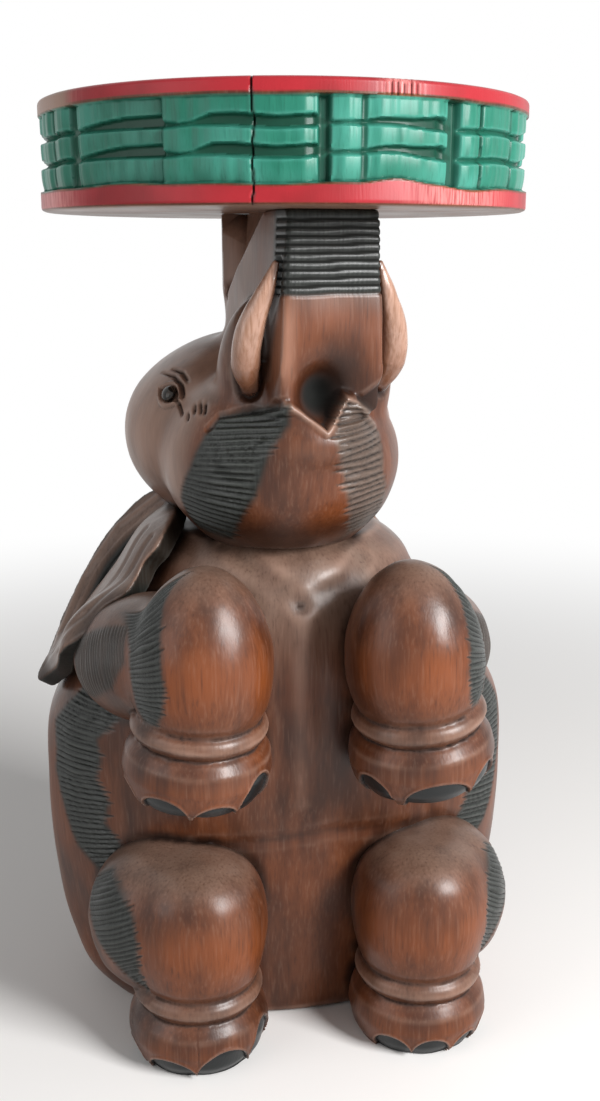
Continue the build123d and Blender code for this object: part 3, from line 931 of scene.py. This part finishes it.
def makeBody(pockets):
    plan = bodyPlan
    profile = [(0, 0), (1, 0), (1, plan["neck"]), (0, plan["neck"])]
    piece = turned((0, 0, 0), (0, 0, 1), profile, 160, 180)
    points = getPoints(piece)
    angle = np.arctan2(points[:, 1], points[:, 0])
    share = np.hypot(points[:, 0], points[:, 1])
    skin = bodySkin(points[:, 2])
    x, y = plan["centre"]
    deep = np.where(np.sin(angle) > 0, skin[:, 2] - y, y - skin[:, 1])
    points[:, 0] = x + skin[:, 0] * share * np.cos(angle)
    points[:, 1] = y + deep * share * np.sin(angle)
    setPoints(piece, points)
    tail = tube(plan["tail"], plan["tailRadii"])
    piece = clay(joined("body_carved", piece, tail), 2.4, rounds=3)
    cutters = [roughCopy(pocket, 4, 1.5) for pocket in pockets]
    cutWith(piece, *cutters)
    thrownAway(*cutters)
    carveBody(piece)
    return finished(piece, carvedWood, "carved_wood", "body")


headPlan = {
    "skull": (-5.0, 38.0, 370.0),
    "skullRadii": (84.0, 84.0, 63.0),
    "jaw": (-7.0, -13.0, 360.0),
    "jawRadii": (71.0, 71.0, 60.0),
    "cheek": (27.0, -38.0, 410.0),
    "cheekRadii": (25.0, 25.0, 44.0),
    "lip": (-6.0, -47.0, 376.0),
    "lipRadii": (45.0, 43.0, 27.0),
    "trunkFront": -85.0,
    "trunkFoot": 392.0,
    "trunkHalfFoot": 31.0,
    "trunkHalfTop": 26.0,
    "columnBack": 23.0,
    "columnHalf": 32.0,
    # the wedge cut from each side of the column: x from and to, then front y, back y and height of its ends
    "recessX": (16.0, 60.0),
    "recess": [(14, 16, 452), (-57, 20.5, 505)],
    "hatchFoot": 457.0,
    "hatchPitch": 4.3,
    "hatchRows": 10,
    # seen from the front, x and height: the mouth's middle and half sizes, its corner and the lip
    "mouth": (-4.0, 402.0, 12.5, 13.5),
    "mouthDeep": 17.0,
    "dish": (-1.0, 408.0, 21.0, 17.0),  # the shallow bowl round the mouth
    "dishDeep": 6.0,
    "mouthCorner": [(12, 401), (22, 394), (32, 387), (33, 411), (27, 407.5), (19, 402)],
    "cornerDeep": 4.5,
    "paintedShadow": (3.0, 412.0, 26.0, 31.0),  # painted shadow: the dark arch over the mouth
    "lipEdge": [(-60, -49, 383), (-54, -50, 389), (-40, -62, 394), (-27, -84, 400)],
    "lipRim": [
        (-27, 399), (-18, 393.5), (-11, 388), (-4.4, 382.5), (0, 387), (4, 395), (8, 401), (14, 399.5),
        (22, 392), (31, 384),
    ],
    "jawRadius": 75.0,
    "jawOuter": [(-52, 391), (-57, 380), (-64, 361), (-77, 341), (-80, 322)],
    "jawInner": [(-14, 399), (-14, 388), (-22, 375), (-29, 348), (-38, 334), (-50, 318)],
    "jawInnerLeft": [(12, 400), (5, 381), (11, 361), (15, 346), (22, 330), (30, 318)],
    "jawOuterLeft": [(20, 398), (38, 380), (38, 357), (50, 335), (60, 322)],
    "jawCount": 23,
    "jawStainAndSheen": (1.0, 0.55),  # how much stain is left on the right and the left patch; less on the left for a painted sheen
    "eye": (66.0, -37.0, 28.0),
    # strokes beside the eye: millimetres forward and up from the bead
    "lids": [
        [(-22, 9), (-8, 10.5), (4, 8), (12, 3)],
        [(5, 1), (14, -3), (24, -7)],
        [(-15, 14), (-4, 15), (6, 12)],
    ],
    "nicks": [[(30, 2), (36, -3)], [(33, 5), (41, -1)], [(38, 6), (44, 0)], [(29, -4), (33, -8)]],
}


def eyeFrame(side):  # bead's middle, outward, forward and up directions, in the head's frame
    place = np.array(headPlan["skull"]) + (side * headPlan["eye"][0], *headPlan["eye"][1:])
    outward = (place - np.array(headPlan["skull"])) / np.array(headPlan["skullRadii"]) ** 2
    outward /= np.linalg.norm(outward)
    forward = np.array([0, -1.0, 0]) + outward * outward[1]
    forward /= np.linalg.norm(forward)
    up = np.array([0, 0, 1.0]) - outward * outward[2] - forward * forward[2]
    return place, outward, forward, up / np.linalg.norm(up)


def carveHead(piece):  # works in the head's own frame, before the head is turned
    plan = headPlan
    jaw, upright = np.array([*plan["jaw"][:2], 0.0]), np.array([0, 0, 1.0])
    points = getPoints(piece)
    aboveNeck = points[:, 2] - bodyPlan["neck"]
    low = smoothStep(416, 404, points[:, 2]) * smoothStep(1, 6, aboveNeck)
    points = averaged(piece, points, 26, low * smoothStep(8, -4, points[:, 1]) * 0.9)
    points = averaged(piece, points, 60, hump(points[:, 2], 430, 30) * smoothStep(-45, -20, points[:, 1]))
    setPoints(piece, points)
    flat = unrolled(points, jaw, upright, plan["jawRadius"])
    patches = [
        (arc(plan["jawOuter"], plan["jawRadius"]), arc(plan["jawInner"], plan["jawRadius"])),
        (arc(plan["jawOuterLeft"], plan["jawRadius"]), arc(plan["jawInnerLeft"], plan["jawRadius"])),
    ]
    inFront = points[:, 1] < 5
    near = (points[:, 1] < -55) & (points[:, 2] > 380) & (points[:, 2] < 502)
    for outer, inner in patches:
        near |= (insideBy(flat, outer + inner[::-1]) > -6) & inFront
    for side in sides:
        near |= np.linalg.norm(points - eyeFrame(side)[0], axis=1) < 27
    finer(piece, near)
    points, normals = getPoints(piece), getNormals(piece)
    flat = unrolled(points, jaw, upright, plan["jawRadius"])
    frontView = points[:, [0, 2]]
    inFront = points[:, 1] < 5
    sink, stain = np.zeros(len(points)), np.zeros(len(points))
    for index, (outer, inner) in enumerate(patches):
        cut, dye = hatch(flat, outer, inner, plan["jawCount"], 60 + index, 1.7, 6.0)
        sink = np.maximum(sink, 1.15 * cut * inFront)
        stain = np.maximum(stain, dye * inFront * plan["jawStainAndSheen"][index])
    leftJawSheen = dye * inFront  # painted sheen: the left patch is thinner in stain and grey
    sway = 0.35 * np.sin(points[:, 0] / 13) + 0.18 * np.sin(points[:, 0] / 5.3 + points[:, 2] / 3)
    rise = points[:, 2] - plan["hatchFoot"] - sway
    row = rise / plan["hatchPitch"]
    nearest = np.round(row)
    onSlab = (points[:, 1] < -70) & (nearest >= 0) & (nearest < plan["hatchRows"])
    rib = hump((row - nearest) * plan["hatchPitch"], 0, 1.5) * onSlab
    sink = np.maximum(sink, 0.6 * rib)
    stain = np.maximum(stain, smoothStep(-1.5, 1.0, rise) * smoothStep(-64, -70, points[:, 1]))
    for side in sides:
        gap, share = nearLine(points, [(side * x, y, z) for x, y, z in tuskPlan["path"]])
        width = np.interp(share, np.linspace(0, 1, len(tuskPlan["radii"])), tuskPlan["radii"])
        sink += 3.2 * hump(gap - width, 0, 4.5) * smoothStep(-83, -77, points[:, 1])
    sink += 2.2 * hump(nearLine(points, plan["lipEdge"])[0], 0, 4.0)
    front = smoothStep(-60, -72, points[:, 1])
    gap, _ = nearLine(frontView, plan["lipRim"])
    lipRim = hump(gap, 0, 3.4) * front
    sink -= 1.2 * lipRim
    skullSide = smoothStep(-48, -30, points[:, 1]) * smoothStep(322, 350, points[:, 2])
    skullSide *= 1 - 0.5 * smoothStep(415, 435, points[:, 2])
    pale = np.maximum(0.5 * lipRim, 0.8 * skullSide)
    moved = points - normals * sink[:, None]
    aboveLip = points[:, 2] - np.interp(points[:, 0], *np.array(plan["lipRim"]).T)
    mouth = softBowl(frontView, *plan["mouth"]) * front
    mouth *= smoothStep(0.5, 3.5, aboveLip)
    moved[:, 1] += plan["mouthDeep"] * mouth
    dish = softBowl(frontView, *plan["dish"]) * front
    moved[:, 1] += plan["dishDeep"] * dish * smoothStep(0.5, 6.0, aboveLip)
    corner = smoothStep(-3.0, 3.5, insideBy(frontView, plan["mouthCorner"])) * front
    moved[:, 1] += plan["cornerDeep"] * corner
    # painted shadow inside the mouth and its corner; the lid strokes are dark cuts
    darkMouth = np.maximum(smoothStep(0.05, 0.75, mouth), 0.9 * smoothStep(0.3, 0.8, corner))
    # painted shadow deep in the mouth, in the stain colour
    stain = np.maximum(stain, smoothStep(0.4, 0.9, mouth))
    x, z, halfWide, halfTall = plan["paintedShadow"]
    away = np.hypot((points[:, 0] - x) / halfWide, (points[:, 2] - z) / halfTall)
    paintedShadow = 1.2 * smoothStep(1.2, 0.3, away) * front * smoothStep(0, 4, aboveLip)
    # painted shadow under the head, darker towards the bottom of the chin
    paintedShadow = np.maximum(paintedShadow, smoothStep(345, 322, points[:, 2]) * (points[:, 1] < -20))
    for side in sides:
        place, _, forward, up = eyeFrame(side)
        reach = points - place
        spot = np.stack([reach @ forward, reach @ up], 1)
        almond = 4.8 * (1 - (spot[:, 0] / 9.5) ** 2) - np.abs(spot[:, 1])
        eyeSink = 1.4 * smoothStep(-0.5, 1.0, almond) - 1.9 * hump(almond, -2.2, 2.6)
        beside = np.linalg.norm(reach, axis=1) < 48
        for line in plan["lids"] + plan["nicks"]:
            gap, share = nearLine(spot, line)
            stroke = hump(gap, 0, 2.1) * np.sqrt(np.clip(share * (1 - share) * 6, 0.1, 1))
            eyeSink += 1.7 * stroke
            darkMouth = np.maximum(darkMouth, 0.85 * stroke * beside)
        moved -= normals * (eyeSink * beside)[:, None]
        pale = np.maximum(pale, 0.6 * hump(almond, -2.0, 2.0) * beside)
    moved -= normals * (0.5 * bumps(points, 22, 7))[:, None]
    setPoints(piece, moved)
    relief = hollowness(piece)
    slab = front * smoothStep(400, 425, points[:, 2]) * smoothStep(460, 440, points[:, 2])
    leftEdge = hump(points[:, 0], -27, 9) * slab
    skullTop = smoothStep(0.2, 0.9, normals[:, 2])
    chin = hump(points[:, 2], 338, 26) * hump(points[:, 0], 3, 30) * (points[:, 1] < -40)
    sideBand = (points[:, 2] > 410) & (points[:, 1] > -72) & (points[:, 1] < -5) & (np.abs(points[:, 0]) < 50)
    cuts = np.where(nearest > 0, smoothStep(0, 0.5, rib), smoothStep(0.06, 0.5, relief))
    paintPoints(
        piece,
        stain=stain,
        # painted sheen: grey on the skull's top and sides, the trunk's sides and the lighter left jaw patch;
        # a grey wash below the slab
        grey=np.maximum(
            0.3 * skullTop + 0.3 * sideBand + 0.2 * hump(points[:, 2], 385, 50) * (points[:, 1] > -30),
            np.maximum(0.2 * hump(points[:, 2], 457, 14) * front, leftJawSheen),
        ),
        worn=np.maximum(np.maximum(leftEdge, 0.8 * chin), 0.5 * slab),
        pale=np.maximum(pale, 0.4 * leftEdge),
        # painted shade: the arch over the mouth, under the chin, and the slab's top under the round top
        grime=np.maximum(0.8 * paintedShadow, smoothStep(474, 494, points[:, 2]) * front),
        hollow=np.maximum(cuts, darkMouth),
        edge=smoothStep(0.05, 0.4, -relief) * (nearest < 0),
    )


def makeHead():
    plan = headPlan
    skull = ball(plan["skull"], plan["skullRadii"])
    jaw = ball(plan["jaw"], plan["jawRadii"])
    lip = ball(plan["lip"], plan["lipRadii"])
    cheeks = []
    for side in sides:
        x, y, z = plan["cheek"]
        cheeks.append(ball((side * x, y, z), plan["cheekRadii"]))
    foot, top, front = plan["trunkFoot"], topPlan["foot"], plan["trunkFront"]
    halfFoot, halfTop = plan["trunkHalfFoot"], plan["trunkHalfTop"]
    half, back = plan["columnHalf"], plan["columnBack"]
    trunk = block(
        [(-halfFoot, front, foot), (halfFoot, front, foot), (half, back, foot), (-half, back, foot)],
        [(-halfTop, front, top), (halfTop, front, top), (half, back, top), (-half, back, top)],
    )
    recesses = []
    for side in sides:
        inner, outer = sorted(side * x for x in plan["recessX"])
        ends = []
        for near, far, z in plan["recess"]:
            ends.append([(inner, near, z), (outer, near, z), (outer, far, z), (inner, far, z)])
        recesses.append(block(*ends))
    piece = joined("head_carved", skull, jaw, lip, *cheeks, trunk)
    clay(piece, 1.75, rounds=3)
    cutWith(piece, *recesses)
    thrownAway(*recesses)
    cutFlat(piece, (0, 0, bodyPlan["neck"]), (0, 0, -1))
    cutFlat(piece, (0, 0, top), (0, 0, 1))
    carveHead(piece)
    setPoints(piece, spun(getPoints(piece)))
    return finished(piece, carvedWood, "carved_wood", "head")


tuskPlan = {
    "path": [
        (39.0, -57.0, 406.0), (43.0, -62.5, 419.0), (42.0, -68.0, 438.0), (35.5, -73.0, 457.0),
        (30.0, -76.0, 473.0),
    ],
    "radii": [5.0, 8.0, 7.6, 5.2, 1.8],
}
eyePlan = {"radius": 5.0, "bulge": 3.0}
earPlan = {
    "root": (54.0, 68.0, 304.0),
    "lean": 40.0,
    "swing": 38.0,
    "thick": 15.0,
    "mostLift": {right: 54, left: 8},  # how far the flap's front half may rise to lie on the shoulder
    # millimetres backward and up along the ear; the right flap lies wide over the shoulder
    "outline": {
        right: [
            (-38, 8), (-57, -12), (-55, -28), (-62, -46), (-56, -62), (-57, -80), (-47, -98), (-34, -114),
            (-16, -127), (8, -108), (24, -66), (30, -22), (16, 14),
        ],
        left: [
            (-22, 8), (-36, -28), (-42, -72), (-31, -114), (-16, -127), (8, -108), (24, -66), (30, -22),
            (16, 14),
        ],
    },
    # lines on the face: millimetres backward and up along the ear
    "leaf": [(4, 8), (13, -12), (17, -36), (15, -58), (4, -86), (4, -58), (1, -32), (-3, -6)],
    "fold": [(-9, 2), (-7, -28), (-5, -56), (-6, -84), (-14, -108)],
    "rim": [(13, 10), (25, -22), (22, -62), (7, -100), (-14, -118)],
    "strips": [
        [(-32, -10), (-36, -44), (-34, -74), (-27, -102)],
        [(-46, -12), (-49, -44), (-47, -72), (-38, -96)],
    ],
}


def makeTusk(side):
    name = "tusk_" + sideNames[side]
    piece = tube([spun((side * x, y, z)) for x, y, z in tuskPlan["path"]], tuskPlan["radii"])
    piece = clay(joined(name + "_carved", piece), 0.8, rounds=4)
    points, normals = getPoints(piece), getNormals(piece)
    ridge = hump(normals @ spun((-side * 0.75, -0.65, 0.1)), 1, 0.3)  # a whittled edge along its front
    points += normals * (0.7 * ridge + 0.25 * bumps(points, (6, 6, 18), 2))[:, None]
    setPoints(piece, points)
    # painted shade at the root, where the tusk goes into the cheek
    paintPoints(piece, low=smoothStep(436, 408, points[:, 2]), grime=smoothStep(409, 402, points[:, 2]))
    return finished(piece, tuskFinish, "tusk_paint", name)


def makeEye(side):
    name = "eye_" + sideNames[side]
    place, outward, _, _ = eyeFrame(side)
    radius = eyePlan["radius"]
    piece = joined(name + "_bead", ball(spun(place), (radius, radius, eyePlan["bulge"]), spun(outward)))
    return finished(piece, eyeBead, "eye_bead", name)


def earFrame(side):  # root, direction towards the back, up along the ear, out of the ear
    lean, swing = math.radians(earPlan["lean"]), math.radians(earPlan["swing"])
    down = np.array([side * math.sin(lean), 0, -math.cos(lean)])
    backward = np.array([side * math.sin(swing), math.cos(swing), 0])
    outward = np.cross(backward, down) * -side
    outward /= np.linalg.norm(outward)
    across = -np.cross(down, outward)
    root = np.array([side * earPlan["root"][0], *earPlan["root"][1:]])
    return [spun(v) for v in (root, across * side, -down, outward)]


def smoothLoop(points, count):  # a closed smooth line through the points
    points = np.array(points, float)
    number = len(points)
    spots = np.arange(count) / count * number
    whole = spots.astype(int)
    t = (spots - whole)[:, None]
    p0, p1, p2, p3 = (points[(whole + k) % number] for k in (-1, 0, 1, 2))
    square, cube = 2 * p0 - 5 * p1 + 4 * p2 - p3, 3 * p1 - p0 - 3 * p2 + p3
    return 0.5 * (2 * p1 + (p2 - p0) * t + square * t**2 + cube * t**3)


def drapeEar(piece, side):  # lifts the flap until its inside clears the body and the upper arm
    root, _, _, outward = earFrame(side)
    points = getPoints(piece)
    deep = (points - root) @ outward
    inner = points - outward * (deep + earPlan["thick"] / 2 - 2)[:, None]
    centre, way, _, _ = armFrame(side)
    armRadius, _, armHalf = forePlan["armRadii"]
    x, y = bodyPlan["centre"]
    lift = np.zeros(len(points))
    for rise in range(earPlan["mostLift"][side]):
        place = inner + outward * rise
        skin = bodySkin(place[:, 2])
        depth = np.where(place[:, 1] > y, skin[:, 2] - y, y - skin[:, 1])
        inBody = ((place[:, 0] - x) / skin[:, 0]) ** 2 + ((place[:, 1] - y) / depth) ** 2 < 1
        fromArm = place - centre
        along = fromArm @ way
        inArm = (along / armHalf) ** 2 + ((fromArm**2).sum(1) - along**2) / armRadius**2 < 1
        lift = np.where(inArm | (inBody & (place[:, 2] < bodyPlan["neck"])), rise + 1.0, lift)
    lift = averaged(piece, np.stack([np.minimum(lift, earPlan["mostLift"][side])] * 3, 1), 140)[:, :1]
    setPoints(piece, points + outward * lift)
    useModifier(piece, "SMOOTH", factor=0.5, iterations=8)


def carveEar(piece, side):
    plan = earPlan
    root, backward, up, outward = earFrame(side)
    points, normals = getPoints(piece), getNormals(piece)
    reach = points - root
    spot = np.stack([reach @ backward, reach @ up], 1)
    face = smoothStep(0.2, 0.6, normals @ outward)
    leaf = smoothStep(-1.5, 4.5, insideBy(spot, smoothLoop(plan["leaf"], 40)))
    foldGap, _ = nearLine(spot, plan["fold"])
    rimGap, _ = nearLine(spot, plan["rim"])
    sink = 4.5 * leaf * face
    sink += 1.4 * hump(foldGap, 0, 3.0) * face
    sink -= 1.0 * hump(rimGap, 0, 4.0) * face
    for line in plan["strips"]:
        gap, _ = nearLine(spot, line)
        sink += 1.0 * hump(gap, 0, 4.0) * face
    sink += 0.4 * bumps(points, 16, 11 + side)
    setPoints(piece, points - normals * sink[:, None])
    relief = hollowness(piece)
    edgeBy = insideBy(spot, smoothLoop(plan["outline"][side], 60))
    outerEdge = smoothStep(3.5, 0.5, edgeBy) * (spot[:, 0] > -18)
    tip = smoothStep(-104, -122, spot[:, 1])
    frontEdge = smoothStep(0.5, 0.1, normals @ outward) * smoothStep(-14, -26, spot[:, 0])
    paintPoints(
        piece,
        stain=np.maximum(smoothStep(0.2, 0.8, leaf) * face, np.maximum(0.8 * outerEdge, 0.9 * frontEdge)),
        # painted sheen: the ear's outer face is greyer than its edges
        grey=0.75 * face + 0.3,
        # darker towards the tip
        grime=0.85 * tip,
        hollow=np.maximum(smoothStep(0.05, 0.4, relief), 0.7 * tip),
        edge=smoothStep(0.04, 0.35, -relief),
        pale=0.35 * hump(rimGap, 0, 4.5) * face,
    )


def makeEar(side):
    name = "ear_" + sideNames[side]
    root, backward, up, outward = earFrame(side)
    outline = smoothLoop(earPlan["outline"][side], 96)
    bpy.ops.mesh.primitive_circle_add(vertices=96, radius=1, fill_type="NGON")
    piece = bpy.context.object
    setPoints(piece, root + outline[:, :1] * backward + outline[:, 1:] * up)
    useModifier(piece, "SOLIDIFY", thickness=earPlan["thick"] * mm, offset=-1)
    points = getPoints(piece)
    deep = ((points - root) @ outward).mean()
    points += outward * (earPlan["thick"] / 2 - deep)
    setPoints(piece, points)
    editWhole(piece, bpy.ops.mesh.normals_make_consistent, inside=False)
    piece = clay(joined(name + "_carved", piece), 1.1, rounds=6)
    drapeEar(piece, side)
    carveEar(piece, side)
    return finished(piece, carvedWood, "carved_wood", name)


def settleShadeAndGrime(pieces, reach=8.0, step=6):  # painted shade and grime where one piece meets another
    clouds = [getPoints(piece) for piece in pieces]
    for index, piece in enumerate(pieces):
        low, high = clouds[index].min(0) - reach, clouds[index].max(0) + reach
        others = np.concatenate([points[::step] for other, points in enumerate(clouds) if other != index])
        others = others[((others > low) & (others < high)).all(1)]
        tree = kdtree.KDTree(len(others))
        for place, point in enumerate(others):
            tree.insert(point, place)
        tree.balance()
        gap = np.array([tree.find(point)[2] for point in clouds[index]])
        # painted shade on surfaces that face down
        underside = 0.35 * smoothStep(0.1, -0.8, getNormals(piece)[:, 2])
        grime = np.maximum(smoothStep(reach, 1.5, gap), underside)
        earlier = piece.data.attributes.get("grime")
        if earlier:
            grime = np.maximum(grime, readAll(earlier.data, "value"))
        paintPoints(piece, grime=grime)


roundTop = makeRoundTop()
legs = [makeHindLeg(side) for side in sides] + [makeForeLeg(side) for side in sides]
ears = [makeEar(side) for side in sides]
body = makeBody(legs)
head = makeHead()
tusks = [makeTusk(side) for side in sides]
eyes = [makeEye(side) for side in sides]
settleShadeAndGrime([*legs, *ears, body, head, *tusks])
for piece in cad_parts.values():
    if not piece.hide_render:  # the hidden dowels keep their own shapes
        piece.data.materials.clear()
        piece.data.materials.append(carvedWood)
print("pieces finished")

stagePlan = {"floor": 12000.0, "floorColour": "#f4f2f0", "near": 380.0, "far": 1500.0}
cameraPlan = {"turn": -9.0, "distance": 777.0, "aside": 9.5, "height": 479.0, "pitch": 13.1, "lens": 41.98}
lightPlan = {
    "key": {"place": (1000, -1150, 900), "size": 620, "watts": 43},
    "fill": {"place": (-1300, -700, 700), "size": 1000, "watts": 5},
    "world": 0.3,
}


def seenShare(tree):  # 1 where the camera sees a surface, straight or in a reflection
    path = addNode(tree, "ShaderNodeLightPath", {})
    share = path.outputs["Is Camera Ray"]
    for kind in ("Is Glossy Ray", "Is Transmission Ray"):
        either = addNode(tree, "ShaderNodeMath", {0: share, 1: path.outputs[kind]}, operation="MAXIMUM")
        share = either.outputs[0]
    return share


def makeStage():
    plan = stagePlan
    bpy.ops.mesh.primitive_plane_add(size=plan["floor"] * mm)
    floor = bpy.context.object
    floor.name = "floor"
    material, tree, _ = newFinish("paleStudioFloor", {})
    place = addNode(tree, "ShaderNodeTexCoord", {}).outputs["Object"]
    away = addNode(tree, "ShaderNodeVectorMath", {0: place}, operation="LENGTH").outputs["Value"]
    inputs = {"Value": away, "From Min": plan["near"] * mm, "From Max": plan["far"] * mm}
    fade = addNode(tree, "ShaderNodeMapRange", inputs, interpolation_type="SMOOTHSTEP").outputs["Result"]
    matt = addNode(tree, "ShaderNodeBsdfDiffuse", {"Color": toLinear(plan["floorColour"])})
    white = addNode(tree, "ShaderNodeEmission", {"Color": (1, 1, 1, 1)})
    share = addNode(tree, "ShaderNodeMath", {0: seenShare(tree), 1: fade}, operation="MULTIPLY").outputs[0]
    mix = addNode(tree, "ShaderNodeMixShader", {0: share, 1: matt.outputs[0], 2: white.outputs[0]})
    addNode(tree, "ShaderNodeOutputMaterial", {"Surface": mix.outputs[0]})
    floor.data.materials.append(material)


def makeLamp(name, place, size, watts):
    bpy.ops.object.light_add(type="AREA", location=Vector(place) * mm)
    lamp = bpy.context.object
    lamp.name = name + "Lamp"
    lamp.data.size = size * mm
    lamp.data.energy = watts
    aim = Vector((0, 0, 280 * mm)) - lamp.location
    lamp.rotation_euler = aim.to_track_quat("-Z", "Y").to_euler()


def makeWorld():
    world = bpy.data.worlds.new("studio")
    bpy.context.scene.world = world
    world.use_nodes = True
    tree = world.node_tree
    tree.nodes.clear()
    soft = addNode(tree, "ShaderNodeBackground", {"Color": (1, 1, 1, 1), "Strength": lightPlan["world"]})
    white = addNode(tree, "ShaderNodeBackground", {"Color": (1, 1, 1, 1)})
    mix = addNode(tree, "ShaderNodeMixShader", {0: seenShare(tree), 1: soft.outputs[0], 2: white.outputs[0]})
    addNode(tree, "ShaderNodeOutputWorld", {"Surface": mix.outputs[0]})


def makeCamera():
    plan = cameraPlan
    turn = math.radians(plan["turn"])
    forward = Vector((-math.sin(turn), math.cos(turn), 0))
    aside = Vector((math.cos(turn), math.sin(turn), 0))
    place = forward * -plan["distance"] + aside * plan["aside"] + Vector((0, 0, plan["height"]))
    bpy.ops.object.camera_add(location=place * mm, rotation=(math.radians(90 - plan["pitch"]), 0, turn))
    camera = bpy.context.object
    camera.data.lens = plan["lens"]
    camera.data.sensor_width = 36
    camera.data.clip_start = 0.05
    bpy.context.scene.camera = camera


makeStage()
for lampName in ("key", "fill"):
    makeLamp(lampName, **lightPlan[lampName])
makeWorld()
makeCamera()
bpy.context.scene.view_settings.view_transform = "Standard"
print("stage and light set")
